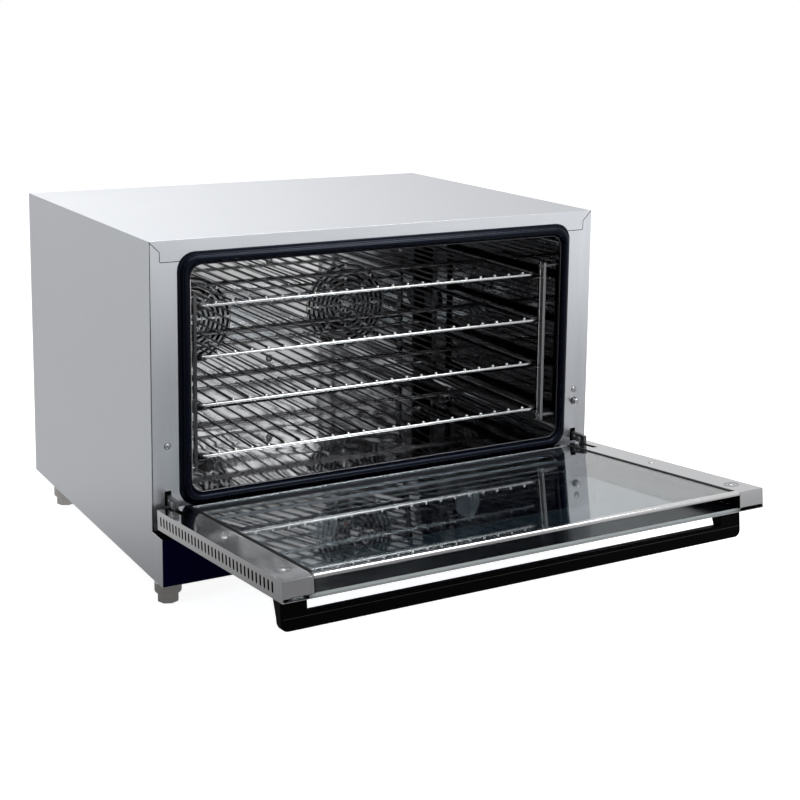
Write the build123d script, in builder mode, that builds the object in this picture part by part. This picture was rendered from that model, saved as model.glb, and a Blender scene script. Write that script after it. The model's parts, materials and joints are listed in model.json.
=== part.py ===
from build123d import *
from math import asin, cos, degrees, radians, sin, sqrt
import os

os.makedirs("parts", exist_ok=True)

# Driving dimensions in millimetres. Depths are measured back from the front frame plane.

WIDTH = 834.0
BODY_HEIGHT = 539.0
DEPTH = 640.0
FOOT_HEIGHT = 33.0
SHEET = 1.0
TOUCH_GAP = 0.3
RUNNING_GAP = 0.05

# Front frame and chamber mouth
STILE_WIDTH = 46.0
TOP_RAIL = 20.0
SILL_HEIGHT = 33.0
FRAME_CORNER = 30.0
GASKET_WIDTH = 21.0
MOUTH_CORNER = 20.0
MITRE = 18.0
RAIL_LAP = 14.0
REAR_FLANGE = 12.0
PAN_FLANGE = 20.0
SILL_RETURN = 14.0
GASKET_ROUND = 8.5

# Chamber, baffle and insulation
REAR_BAY = 108.0
BAFFLE_SPACE = 63.0
BAFFLE_SIDE_GAP = 25.0
BAFFLE_END_GAP = 6.0
BAFFLE_RETURN = 12.0
INSULATION = 30.0
FLANGE = 10.0
BAFFLE_SCREW_INSET = 58.0
BAFFLE_SCREW_LOW = 80.0
BAFFLE_SCREW_HIGH = 93.0
BAFFLE_SCREW_HEAD = 5.0

# Fans, grilles, elements and motors
FAN_SPACING = 334.0
FAN_DROP = 11.5
FAN_RADIUS = 75.0
FAN_WIDTH = 26.0
FAN_GAP = 10.0
FAN_BLADES = 14
FAN_SHEET = 1.5
BLADE_LENGTH = 37.0
BLADE_INSET = 1.0
HUB_RADIUS = 12.0
SHAFT_RADIUS = 6.0
SHAFT_NOSE = 6.0
SHAFT_HOLE = 8.0
SHAFT_WELL = 18.0
GRILLE_RINGS = 8
GRILLE_FIRST_RADIUS = 12.0
GRILLE_PITCH = 9.8
GRILLE_SLOT = 5.6
GRILLE_RIB = 4.0
GRILLE_RIBS = 4
ELEMENT_RADIUS = 95.0
ELEMENT_TUBE = 4.0
ELEMENT_LEG_SPREAD = 12.0
ELEMENT_BEND = 4.6
ELEMENT_TERMINAL = 8.0
MOTOR_RADIUS = 42.0
MOTOR_LENGTH = 52.0
MOTOR_CAP = 8.0
MOTOR_PLATE = 2.0
MOTOR_PLATE_MARGIN = 40.0
MOTOR_PLATE_BELOW = 120.0
MOTOR_PLATE_ABOVE = 60.0

# Door
DOOR_THICKNESS = 31.0
DOOR_SIDE_GAP = 3.3
DOOR_BOTTOM_GAP = 3.0
SEAL_GAP = 12.0
SWING = 84.5
PIVOT_UP = 17.0
PIVOT_OUT = 10.0
STRIP_WIDTH = 47.0
LIP_WIDTH = 24.0
SEAL_WIDTH = 5.0
GLASS = 4.0
PANE_START = 12.0
PANE_END = 3.0
OUTER_PANE_START = 14.0
OUTER_PANE_END = 6.0
OUTER_PANE_LAP = 6.0
EDGE_STRIP_OUT = 12.0
EDGE_STRIP_IN = 10.0
STRIP_SCREW_LOW = 213.0
STRIP_SCREW_FROM_TOP = 46.0
SIDE_SLOT_PITCH = 12.9
SIDE_SLOT_START = 15.0
SIDE_SLOT_END = 30.0
SIDE_SLOT_LENGTH = 15.5
SIDE_SLOT_WIDTH = 5.6
TRIM_WIDTH = 11.0
TRIM_DEPTH = 7.0
TRIM_RISE = 0.8
TRIM_ROUND = 2.5
PANE_DROP = 0.5
CORNER_BLOCK_WALL = 1.2
CORNER_BLOCK_LENGTH = 18.0

# Hinges
HINGE_ASIDE = 19.0
ARM_THICKNESS = 6.0
ARM_SIDE_GAP = 2.5
ARM_BOSS = 6.5
ARM_WEB_FRONT = 6.0
ARM_WEB_BACK = 8.0
ARM_BAR_LOW = 23.0
ARM_BAR_HIGH = 37.0
ARM_REACH = 36.0
HINGE_SLOT_GAP = 2.0
HINGE_SLOT_WIDTH = 10.0
HINGE_PIN_RADIUS = 3.0
CHANNEL_START = 6.0
CHANNEL_LENGTH = 56.0
CHANNEL_WALL = 2.0
BRACKET_WALL = 3.7
BRACKET_MARGIN = 8.0
BRACKET_BACK = 4.0

# Handle
HANDLE_END_GAP = 13.7
HANDLE_FROM_TOP = 38.0
HANDLE_PROJECTION = 52.0
HANDLE_FINGER_GAP = 29.0
HANDLE_BAR_DEPTH = 14.0
HANDLE_POST_WIDTH = 40.0
HANDLE_POST_DEPTH = 28.0
HANDLE_TAPER = 3.0
HANDLE_SHOULDER = 17.0
HANDLE_CORNER = 11.0

# Shelves and racks
SHELVES = 4
SHELF_ABOVE_FLOOR = 48.0
SHELF_BELOW_ROOF = 73.5
SHELF_SIDE_GAP = 24.0
SHELF_FRONT = 30.0
SHELF_REAR_GAP = 31.0
SHELF_STAGGER = 9.0
SHELF_BAR = 3.0
SHELF_CORNER = 14.0
SHELF_WIRES = 21
SHELF_WIRE = 1.6
SHELF_RUNG = 2.5
SHELF_RUNG_FIRST = 165.0
SHELF_RUNG_PAIR = 13.0
WELD = 0.8
RACK_SIDE_GAP = 5.0
UPRIGHT_WIDTH = 5.0
UPRIGHT_LEG = 16.0
RACK_FRONT = 20.0
RACK_REAR_GAP = 64.0
RACK_MARGIN = 22.0
RAIL_INWARD = 17.0
RAIL_LIP = 8.0
RACK_SHEET = 1.2
RACK_SCREW_RADIUS = 3.0
RACK_SCREW_HEAD = 5.0
RACK_SCREW_INSET = 7.0

# Control box
CONTROL_HEIGHT = 78.0
CONTROL_TOP_DROP = 4.0
FASCIA = 1.2
FASCIA_DROP = 1.0
KNOB_RADIUS = 24.0
KNOB_SKIRT = 6.0
KNOB_ROUND = 2.0
KNOB_GRIP_HEIGHT = 13.0
KNOB_GRIP_WIDTH = 9.0
KNOB_GRIP_LENGTH = 46.0
KNOB_GRIP_ROUND = 1.5
KNOB_SPACING = 276.0
KNOB_BELOW_TOP = 32.0
KNOB_GAP = 0.6
SPINDLE_RADIUS = 3.0
SPINDLE_LENGTH = 14.0
CONTROLLER_SIZE = 44.0
CONTROLLER_DEPTH = 34.0
LAMP_RADIUS = 5.0
LAMP_FROM_KNOB = 42.0
LAMP_DOME = 2.0
LAMP_ROUND = 1.0
LAMP_STEM = 4.0
LAMP_STEM_LENGTH = 14.0

# Feet
FOOT_INSET = 20.0
FOOT_FRONT = -14.0
FOOT_REAR_INSET = 125.0
CUP_RADIUS = 21.5
CUP_HEIGHT = 18.0
CUP_ROUND = 4.0
FOOT_RADIUS = 17.5
FOOT_SIDES = 8
FOOT_ROUND = 2.0
FOOT_STUD = 5.0
FOOT_TRAVEL = 15.0

# Small fittings
SCREW_HEAD = 4.5
SCREW_SHANK = 2.0
SCREW_CAP = 1.6
SCREW_LENGTH = 6.0
STILE_SCREW_HEIGHT = 213.0
REAR_SCREW_INSET = 8.0
REAR_SCREW_LOW = 12.0
REAR_SCREW_HIGH = 30.0
REAR_SCREW_SPREAD = 139.0
SWITCH_HEIGHT = 192.0
PLUNGER_RADIUS = 5.0
PLUNGER_TRAVEL = 8.0
PLUNGER_ROUND = 1.5
SWITCH_BODY_LENGTH = 30.0
SWITCH_BODY_WIDTH = 16.0
SWITCH_BODY_HEIGHT = 28.0
OVEN_LAMP_RADIUS = 21.0
OVEN_LAMP_RIM_RADIUS = 27.0
OVEN_LAMP_RIM = 2.0
OVEN_LAMP_ROUND = 4.0
OVEN_LAMP_AHEAD = 33.0
OVEN_LAMP_PROJECTION = 13.0
OVEN_LAMP_HOLDER = 22.0
OVEN_LAMP_HOLDER_LENGTH = 40.0
PIPE_RADIUS = 15.0
PIPE_WALL = 1.5
PIPE_PROJECTION = 28.0
PIPE_INSET = 167.0
PIPE_BELOW_TOP = 51.0
PROBE_RADIUS = 3.0
PROBE_LENGTH = 110.0
PROBE_AHEAD = 32.0
PROBE_BELOW_TOP = 44.0
PROBE_TAIL = 10.0
GLAND_INSET = 87.0
GLAND_HEIGHT = 50.0
GLAND_RADIUS = 12.0
GLAND_BORE = 5.5
GLAND_LENGTH = 20.0
GLAND_INSIDE = 10.0
GLAND_CAP = 10.0
GLAND_THREAD = 9.0
GLAND_LOCKNUT = 11.0
GLAND_LOCKNUT_LENGTH = 5.0
GLAND_SIDES = 6
TERMINAL_ASIDE = 30.0
TERMINAL_AHEAD = 30.0
TERMINAL_LENGTH = 70.0
TERMINAL_DEPTH = 30.0
TERMINAL_HEIGHT = 24.0
TERMINAL_WAYS = 5
TERMINAL_PITCH = 12.0
TERMINAL_WELL = (7.0, 18.0, 10.0)
LOUVRES = 9
LOUVRE_PITCH = 14.0
LOUVRE_LENGTH = 130.0
LOUVRE_HEIGHT = 5.0

# Derived places

half_width = WIDTH / 2
base_z = FOOT_HEIGHT
top_z = base_z + BODY_HEIGHT
frame_half = half_width - STILE_WIDTH
frame_low = base_z + CONTROL_HEIGHT + SILL_HEIGHT
frame_high = top_z - TOP_RAIL
frame_mid = (frame_low + frame_high) / 2
frame_tall = frame_high - frame_low
mouth_half = frame_half - GASKET_WIDTH
mouth_low = frame_low + GASKET_WIDTH
mouth_high = frame_high - GASKET_WIDTH
mouth_tall = mouth_high - mouth_low
door_length = BODY_HEIGHT - CONTROL_HEIGHT - DOOR_BOTTOM_GAP
door_half = half_width - DOOR_SIDE_GAP
control_top = base_z + CONTROL_HEIGHT
control_front = -(SEAL_GAP + DOOR_THICKNESS)
chamber_depth = DEPTH - REAR_BAY
baffle_depth = chamber_depth - BAFFLE_SPACE
pivot_in = DOOR_THICKNESS - PIVOT_OUT
pivot_depth = -(SEAL_GAP + pivot_in)
pivot_z = control_top + DOOR_BOTTOM_GAP + PIVOT_UP
fan_z = frame_mid - FAN_DROP
tilt = 90.0 - SWING


def open_offset(ahead, up):
    """Depth and height from the pivot of a door point, once the closed door has swung open."""
    turn = radians(SWING)
    depth = ahead * cos(turn) - up * sin(turn)
    height = ahead * sin(turn) + up * cos(turn)
    return depth, height


# The origin is midway between the open door's far edge and the exhaust pipe's end, on the bench.
far_depth, far_height = open_offset(pivot_in - DOOR_THICKNESS, door_length - PIVOT_UP)
FRONT_Y = -(DEPTH + PIPE_PROJECTION + pivot_depth + far_depth) / 2
near_depth, near_height = open_offset(pivot_in, -PIVOT_UP)
door_origin = (0, FRONT_Y + pivot_depth + near_depth, pivot_z + near_height)

# In the door plane x is across, y runs from the hinge edge to the free edge and z goes outwards.
DOOR = Plane(
    origin=door_origin,
    x_dir=(1, 0, 0),
    z_dir=(0, -sin(radians(tilt)), -cos(radians(tilt))),
)


def facing(depth):
    """Plane across the oven at a depth, facing the user: local x is X and local y is Z."""
    return Plane.XZ.offset(-(FRONT_Y + depth))


def beside(x):
    """Plane along the oven at x, facing +X: local x is Y and local y is Z."""
    return Plane.YZ.offset(x)


def door_section(x):
    """Plane across the door at x: local x runs along the door and local y goes outwards."""
    return Plane(origin=DOOR.from_local_coords((x, 0, 0)), x_dir=DOOR.y_dir, z_dir=DOOR.x_dir)


def block(x, y, z, mode=Mode.ADD):
    """Box between pairs of limits along the three axes of the workplane."""
    with Locations(((x[0] + x[1]) / 2, (y[0] + y[1]) / 2, (z[0] + z[1]) / 2)):
        Box(x[1] - x[0], y[1] - y[0], z[1] - z[0], mode=mode)


def slab(x, depth, z, mode=Mode.ADD):
    """Box given by limits across, in depth behind the front frame, and in height."""
    block(x, (FRONT_Y + depth[0], FRONT_Y + depth[1]), z, mode)


def mirrored(x):
    """A span on the left and the same span on the right."""
    return ((-x[1], -x[0]), x)


def frame_opening(depth, thickness):
    """Cuts the rounded opening of the front frame."""
    with BuildSketch(facing(depth)) as opening:
        with Locations((0, frame_mid)):
            RectangleRounded(2 * frame_half, frame_tall, FRAME_CORNER)
    extrude(opening.sketch, amount=-thickness, mode=Mode.SUBTRACT)


def rod(start_depth, end_depth, radius, x, z, mode=Mode.ADD):
    """Round bar along the depth of the oven."""
    with BuildSketch(facing(start_depth)) as section:
        with Locations((x, z)):
            Circle(radius)
    extrude(section.sketch, amount=-(end_depth - start_depth), mode=mode)


def save(part, name):
    part.label = name
    export_step(part, "parts/" + name + ".step")


# Cabinet: top cover

rail_low = frame_high - RAIL_LAP
rail_half = half_width - MITRE
rear_high = top_z - REAR_FLANGE

with BuildPart() as top_cover:
    slab((-half_width, half_width), (0, DEPTH), (top_z - SHEET, top_z))
    with BuildSketch(facing(0)):
        with BuildLine():
            Polyline(
                (-half_width, top_z),
                (half_width, top_z),
                (rail_half, top_z - MITRE),
                (rail_half, rail_low),
                (-rail_half, rail_low),
                (-rail_half, top_z - MITRE),
                close=True,
            )
        make_face()
    extrude(amount=-SHEET)
    frame_opening(0, SHEET)
    slab((-half_width + SHEET, half_width - SHEET), (DEPTH - SHEET, DEPTH), (rear_high, top_z - SHEET))
save(top_cover.part, "top_cover")

# Cabinet: side panels with their front stiles

arm_x = frame_half + HINGE_ASIDE
slot_low = pivot_z + ARM_BAR_LOW - HINGE_SLOT_GAP
slot_high = pivot_z + ARM_BAR_HIGH + HINGE_SLOT_GAP
plunger_z = base_z + SWITCH_HEIGHT
screw_z = base_z + STILE_SCREW_HEIGHT
rear_screw_x = half_width - REAR_SCREW_INSET
side_screws_z = (base_z + REAR_SCREW_LOW, top_z - REAR_SCREW_HIGH)


def side_panel(side):
    """Side sheet with the front stile bent inwards from it. side is -1 at the left and 1 at the right."""
    with BuildPart() as panel:
        outer = sorted((side * half_width, side * (half_width - SHEET)))
        slab(outer, (0, DEPTH), (base_z, top_z - SHEET))
        with BuildSketch(facing(0)):
            with BuildLine():
                Polyline(
                    (side * half_width, base_z + SHEET),
                    (side * half_width, top_z - SHEET),
                    (side * (half_width - SHEET), top_z - SHEET),
                    (side * rail_half, top_z - MITRE),
                    (side * rail_half, rail_low),
                    (side * (frame_half - FRAME_CORNER), rail_low),
                    (side * (frame_half - FRAME_CORNER), frame_high - FRAME_CORNER),
                    (side * frame_half, frame_high - FRAME_CORNER),
                    (side * frame_half, base_z + SHEET),
                    close=True,
                )
            make_face()
            with Locations((side * arm_x, (slot_low + slot_high) / 2)):
                Rectangle(HINGE_SLOT_WIDTH, slot_high - slot_low, mode=Mode.SUBTRACT)
            with Locations((side * arm_x, screw_z)):
                Circle(SCREW_SHANK + TOUCH_GAP, mode=Mode.SUBTRACT)
            if side > 0:
                with Locations((arm_x, plunger_z)):
                    Circle(PLUNGER_RADIUS + TOUCH_GAP, mode=Mode.SUBTRACT)
        extrude(amount=-SHEET)
        frame_opening(0, SHEET)
        inner = sorted((side * (half_width - SHEET), side * (half_width - SHEET - REAR_FLANGE)))
        rear = (DEPTH - 2 * SHEET, DEPTH - SHEET)
        slab(inner, rear, (base_z + 2 * SHEET, rear_high - SHEET))
        for z in side_screws_z:
            rod(*rear, SCREW_SHANK + TOUCH_GAP, side * rear_screw_x, z, mode=Mode.SUBTRACT)
    return panel.part


save(side_panel(-1), "left_side_panel")
save(side_panel(1), "right_side_panel")

# Cabinet: base pan

inner_half = half_width - SHEET
feet = [
    (side * (half_width - FOOT_INSET), FRONT_Y + depth)
    for side in (-1, 1)
    for depth in (FOOT_FRONT, DEPTH - FOOT_REAR_INSET)
]

with BuildPart() as base_pan:
    slab((-inner_half, inner_half), (control_front + FASCIA, DEPTH - SHEET), (base_z, base_z + SHEET))
    for span in mirrored((inner_half - SHEET, inner_half)):
        slab(span, (SHEET, DEPTH - 2 * SHEET), (base_z, base_z + PAN_FLANGE))
    rear_edge = inner_half - REAR_FLANGE - SHEET
    rear = (DEPTH - 2 * SHEET, DEPTH - SHEET)
    slab((-rear_edge, rear_edge), rear, (base_z, base_z + PAN_FLANGE))
    for x in (-REAR_SCREW_SPREAD, REAR_SCREW_SPREAD):
        rod(*rear, SCREW_SHANK + TOUCH_GAP, x, side_screws_z[0], mode=Mode.SUBTRACT)
    with BuildSketch(Plane.XY.offset(base_z)):
        with Locations(*feet):
            Circle(FOOT_STUD + RUNNING_GAP)
    extrude(amount=SHEET, mode=Mode.SUBTRACT)
save(base_pan.part, "base_pan")

# Cabinet: front sill under the mouth

with BuildPart() as front_sill:
    sill_low = base_z + CONTROL_HEIGHT
    horn_high = frame_low + FRAME_CORNER
    slab((-frame_half, frame_half), (0, SHEET), (sill_low, frame_low))
    for span in mirrored((frame_half - FRAME_CORNER, frame_half)):
        slab(span, (0, SHEET), (frame_low, horn_high))
    slab((-frame_half, frame_half), (SHEET, SILL_RETURN), (sill_low, sill_low + SHEET))
    frame_opening(0, SHEET)
save(front_sill.part, "front_sill")

# Cabinet: louvred rear panel

gland_x = GLAND_INSET - half_width
gland_z = base_z + GLAND_HEIGHT
pipe_x = half_width - PIPE_INSET
pipe_z = mouth_high - PIPE_BELOW_TOP
rear_screw_places = [(side * rear_screw_x, z) for side in (-1, 1) for z in side_screws_z]
rear_screw_places += [(side * REAR_SCREW_SPREAD, side_screws_z[0]) for side in (-1, 1)]

with BuildPart() as rear_panel:
    slab((-inner_half, inner_half), (DEPTH - SHEET, DEPTH), (base_z, rear_high))
    with BuildSketch(facing(DEPTH - SHEET)):
        for side in (-1, 1):
            with Locations((side * FAN_SPACING / 2, fan_z)):
                with GridLocations(LOUVRE_LENGTH, LOUVRE_PITCH, 1, LOUVRES):
                    SlotOverall(LOUVRE_LENGTH, LOUVRE_HEIGHT)
        with Locations((pipe_x, pipe_z)):
            Circle(PIPE_RADIUS + TOUCH_GAP)
        with Locations((gland_x, gland_z)):
            Circle(GLAND_THREAD + TOUCH_GAP)
        with Locations(*rear_screw_places):
            Circle(SCREW_SHANK + TOUCH_GAP)
    extrude(amount=-SHEET, mode=Mode.SUBTRACT)
save(rear_panel.part, "rear_panel")

with BuildPart() as cabinet_screws:
    for x, z in rear_screw_places:
        rod(DEPTH, DEPTH + SCREW_CAP, SCREW_HEAD, x, z)
        rod(DEPTH - SCREW_LENGTH, DEPTH, SCREW_SHANK, x, z)
    for x in (-arm_x, arm_x):
        rod(-SCREW_CAP, 0, SCREW_HEAD, x, screw_z)
        rod(0, SCREW_LENGTH, SCREW_SHANK, x, screw_z)
save(cabinet_screws.part, "cabinet_screws")

# Chamber: front flange, liner and rear wall

lamp_y = FRONT_Y + baffle_depth - OVEN_LAMP_AHEAD
fan_centres = [(side * FAN_SPACING / 2, fan_z) for side in (-1, 1)]
leg_places = [
    (x + offset, z - sqrt(ELEMENT_RADIUS**2 - ELEMENT_LEG_SPREAD**2))
    for x, z in fan_centres
    for offset in (-ELEMENT_LEG_SPREAD, ELEMENT_LEG_SPREAD)
]
probe_z = mouth_high - PROBE_BELOW_TOP
probe_depth = chamber_depth - PROBE_AHEAD
pillars = [
    (x, z)
    for x in (BAFFLE_SCREW_INSET - mouth_half, 0, mouth_half - BAFFLE_SCREW_INSET)
    for z in (mouth_low + BAFFLE_SCREW_LOW, mouth_high - BAFFLE_SCREW_HIGH)
]

with BuildPart() as chamber_front:
    with BuildSketch(facing(SHEET)):
        with Locations((0, frame_mid)):
            RectangleRounded(2 * (frame_half + FLANGE), frame_tall + 2 * FLANGE, FRAME_CORNER)
            RectangleRounded(2 * mouth_half, mouth_tall, MOUTH_CORNER, mode=Mode.SUBTRACT)
    extrude(amount=-SHEET)
save(chamber_front.part, "chamber_front")

with BuildPart() as chamber_liner:
    with BuildSketch(facing(2 * SHEET)):
        with Locations((0, frame_mid)):
            RectangleRounded(2 * (mouth_half + SHEET), mouth_tall + 2 * SHEET, MOUTH_CORNER + SHEET)
            RectangleRounded(2 * mouth_half, mouth_tall, MOUTH_CORNER, mode=Mode.SUBTRACT)
    extrude(amount=-(chamber_depth - 3 * SHEET))
    with BuildSketch(beside(mouth_half)):
        with Locations((lamp_y, fan_z)):
            Circle(OVEN_LAMP_HOLDER + TOUCH_GAP)
    extrude(amount=SHEET, mode=Mode.SUBTRACT)
save(chamber_liner.part, "chamber_liner")

with BuildPart() as chamber_rear:
    with BuildSketch(facing(chamber_depth - SHEET)):
        with Locations((0, frame_mid)):
            RectangleRounded(2 * (mouth_half + SHEET), mouth_tall + 2 * SHEET, MOUTH_CORNER + SHEET)
        with Locations(*fan_centres):
            Circle(SHAFT_HOLE, mode=Mode.SUBTRACT)
        with Locations(*leg_places):
            Circle(ELEMENT_TUBE + TOUCH_GAP, mode=Mode.SUBTRACT)
        with Locations((pipe_x, pipe_z)):
            Circle(PIPE_RADIUS + TOUCH_GAP, mode=Mode.SUBTRACT)
        with Locations((0, probe_z)):
            Circle(PROBE_RADIUS + TOUCH_GAP, mode=Mode.SUBTRACT)
    extrude(amount=-SHEET)
save(chamber_rear.part, "chamber_rear")

# Insulation slabs round the chamber

wrap_x = mouth_half + SHEET
wrap_low = mouth_low - SHEET
wrap_high = mouth_high + SHEET
slab_x = wrap_x + INSULATION
slab_depth = (2 * SHEET, chamber_depth)
side_slab_depth = (ARM_REACH + BRACKET_BACK + SHEET, chamber_depth)
back_slab = (chamber_depth, chamber_depth + INSULATION)

with BuildPart() as insulation:
    slab((-slab_x, slab_x), slab_depth, (wrap_high, wrap_high + INSULATION))
    slab((-slab_x, slab_x), slab_depth, (wrap_low - INSULATION, wrap_low))
    for span in mirrored((wrap_x, slab_x)):
        slab(span, side_slab_depth, (wrap_low + TOUCH_GAP, wrap_high - TOUCH_GAP))
    slab(
        (-slab_x, slab_x),
        (back_slab[0] + TOUCH_GAP, back_slab[1]),
        (wrap_low - INSULATION, wrap_high + INSULATION),
    )
    with BuildSketch(facing(back_slab[0])):
        with Locations(*fan_centres):
            Circle(SHAFT_WELL)
        with Locations(*leg_places):
            Circle(ELEMENT_TUBE + TOUCH_GAP)
        with Locations((pipe_x, pipe_z)):
            Circle(PIPE_RADIUS + TOUCH_GAP)
        with Locations((0, probe_z)):
            Circle(PROBE_RADIUS + TOUCH_GAP)
    extrude(amount=-INSULATION, mode=Mode.SUBTRACT)
    with BuildSketch(beside(wrap_x)):
        with Locations((lamp_y, fan_z)):
            Circle(OVEN_LAMP_HOLDER + TOUCH_GAP)
    extrude(amount=INSULATION, mode=Mode.SUBTRACT)
save(insulation.part, "insulation")

# Door gasket: a rubber bulb round the mouth, just short of the closed door

gasket_front = -(SEAL_GAP - TOUCH_GAP)

with BuildPart() as door_gasket:
    with BuildSketch(facing(SHEET)):
        with Locations((0, frame_mid)):
            RectangleRounded(
                2 * (frame_half - TOUCH_GAP),
                frame_tall - 2 * TOUCH_GAP,
                FRAME_CORNER - TOUCH_GAP,
            )
            RectangleRounded(2 * mouth_half, mouth_tall, MOUTH_CORNER, mode=Mode.SUBTRACT)
    extrude(amount=SHEET - gasket_front)
    front_edges = door_gasket.edges().group_by(Axis.Y)[0]
    fillet(front_edges, radius=GASKET_ROUND)
save(door_gasket.part, "door_gasket")

# Fan baffle with two grilles of curved slots

baffle_half = mouth_half - BAFFLE_SIDE_GAP
baffle_low = mouth_low + BAFFLE_END_GAP
baffle_high = mouth_high - BAFFLE_END_GAP

with BuildPart() as fan_baffle:
    slab((-baffle_half, baffle_half), (baffle_depth, baffle_depth + SHEET), (baffle_low, baffle_high))
    for span in mirrored((baffle_half - SHEET, baffle_half)):
        slab(span, (baffle_depth, baffle_depth + BAFFLE_RETURN), (baffle_low, baffle_high))
    for centre_x, centre_z in fan_centres:
        with BuildSketch(facing(baffle_depth)) as slots:
            with Locations((centre_x, centre_z)):
                for ring in range(GRILLE_RINGS, 0, -1):
                    middle = GRILLE_FIRST_RADIUS + (ring - 1) * GRILLE_PITCH
                    Circle(middle + GRILLE_SLOT / 2)
                    Circle(middle - GRILLE_SLOT / 2, mode=Mode.SUBTRACT)
                reach = 2 * (GRILLE_FIRST_RADIUS + GRILLE_RINGS * GRILLE_PITCH)
                for rib in range(GRILLE_RIBS):
                    Rectangle(GRILLE_RIB, reach, rotation=180 * rib / GRILLE_RIBS, mode=Mode.SUBTRACT)
        extrude(amount=-SHEET, mode=Mode.SUBTRACT)
    with BuildSketch(facing(baffle_depth)):
        with Locations(*pillars):
            Circle(SCREW_SHANK + TOUCH_GAP)
    extrude(amount=-SHEET, mode=Mode.SUBTRACT)
save(fan_baffle.part, "fan_baffle")

with BuildPart() as baffle_screws:
    for x, z in pillars:
        rod(baffle_depth - SCREW_CAP, baffle_depth, BAFFLE_SCREW_HEAD, x, z)
        rod(baffle_depth, baffle_depth + SHEET, SCREW_SHANK, x, z)
        rod(baffle_depth + SHEET, chamber_depth - SHEET, SCREW_HEAD, x, z)
save(baffle_screws.part, "baffle_screws")

# Fans, ring elements, motors

fan_front = baffle_depth + FAN_GAP
fan_back = fan_front + FAN_WIDTH
element_depth = (baffle_depth + chamber_depth) / 2
plate_depth = chamber_depth + INSULATION
motor_front = plate_depth + MOTOR_PLATE
motor_back = motor_front + MOTOR_LENGTH


def impeller(x, z):
    """Back plate, hub and straight blades."""
    with BuildPart() as fan:
        rod(fan_back - FAN_SHEET, fan_back, FAN_RADIUS, x, z)
        rod(fan_front, fan_back, HUB_RADIUS, x, z)
        with BuildSketch(facing(fan_front)):
            with Locations((x, z)):
                with PolarLocations(FAN_RADIUS - BLADE_INSET - BLADE_LENGTH / 2, FAN_BLADES):
                    Rectangle(BLADE_LENGTH, FAN_SHEET)
        extrude(amount=-FAN_WIDTH)
        rod(fan_front, fan_back, SHAFT_RADIUS + RUNNING_GAP, x, z, mode=Mode.SUBTRACT)
    return fan.part


def ring_element(x, z):
    """Tube bent to a ring with a gap at the bottom, where two legs turn back through the wall."""
    gap = asin(ELEMENT_LEG_SPREAD / ELEMENT_RADIUS)
    foot_z = z - ELEMENT_RADIUS * cos(gap)
    centre = (x, FRONT_Y + element_depth, z)
    start = (x + ELEMENT_LEG_SPREAD, FRONT_Y + element_depth, foot_z)
    with BuildPart() as element:
        with BuildSketch(Plane(origin=start, z_dir=(cos(gap), 0, sin(gap)))) as tube:
            Circle(ELEMENT_TUBE)
        ring_axis = Axis(centre, (0, -1, 0))
        revolve(tube.sketch, axis=ring_axis, revolution_arc=360 - 2 * degrees(gap))
        for leg_x in (x - ELEMENT_LEG_SPREAD, x + ELEMENT_LEG_SPREAD):
            with Locations((leg_x, FRONT_Y + element_depth, foot_z)):
                Sphere(ELEMENT_BEND)
            rod(element_depth, motor_front + ELEMENT_TERMINAL, ELEMENT_TUBE, leg_x, foot_z)
    return element.part


def motor(x, z):
    """Motor drum with its shaft through the chamber wall."""
    with BuildPart() as drive:
        rod(motor_front, motor_back, MOTOR_RADIUS, x, z)
        rod(motor_back, motor_back + MOTOR_CAP, HUB_RADIUS, x, z)
        rod(fan_front - SHAFT_NOSE, motor_front, SHAFT_RADIUS, x, z)
    return drive.part


for name, centre in zip(("left", "right"), fan_centres):
    save(impeller(*centre), name + "_fan")
    save(ring_element(*centre), name + "_heating_element")
    save(motor(*centre), name + "_motor")

with BuildPart() as motor_plate:
    plate_half = FAN_SPACING / 2 + MOTOR_RADIUS + MOTOR_PLATE_MARGIN
    plate_span = (fan_z - MOTOR_PLATE_BELOW, fan_z + MOTOR_PLATE_ABOVE)
    slab((-plate_half, plate_half), (plate_depth, motor_front), plate_span)
    with BuildSketch(facing(plate_depth)):
        with Locations(*fan_centres):
            Circle(SHAFT_HOLE)
        with Locations(*leg_places):
            Circle(ELEMENT_TUBE + TOUCH_GAP)
    extrude(amount=-MOTOR_PLATE, mode=Mode.SUBTRACT)
save(motor_plate.part, "motor_plate")

with BuildPart() as temperature_probe:
    with BuildSketch(beside(-PROBE_LENGTH / 2)):
        with Locations((FRONT_Y + probe_depth, probe_z)):
            Circle(PROBE_RADIUS)
    extrude(amount=PROBE_LENGTH)
    rod(probe_depth, plate_depth + PROBE_TAIL, PROBE_RADIUS, 0, probe_z)
save(temperature_probe.part, "temperature_probe")

with BuildPart() as exhaust_pipe:
    pipe_span = (chamber_depth - SHEET, DEPTH + PIPE_PROJECTION)
    rod(*pipe_span, PIPE_RADIUS, pipe_x, pipe_z)
    rod(*pipe_span, PIPE_RADIUS - PIPE_WALL, pipe_x, pipe_z, mode=Mode.SUBTRACT)
save(exhaust_pipe.part, "exhaust_pipe")

# Oven lamp on the right chamber wall

with BuildPart() as lamp_glass:
    with BuildSketch(beside(mouth_half - OVEN_LAMP_RIM)):
        with Locations((lamp_y, fan_z)):
            Circle(OVEN_LAMP_RIM_RADIUS)
    extrude(amount=OVEN_LAMP_RIM)
    with BuildSketch(beside(mouth_half - OVEN_LAMP_PROJECTION)):
        with Locations((lamp_y, fan_z)):
            Circle(OVEN_LAMP_RADIUS)
    extrude(amount=OVEN_LAMP_PROJECTION - OVEN_LAMP_RIM)
    fillet(lamp_glass.edges().group_by(Axis.X)[0], radius=OVEN_LAMP_ROUND)
save(lamp_glass.part, "lamp_glass")

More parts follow.
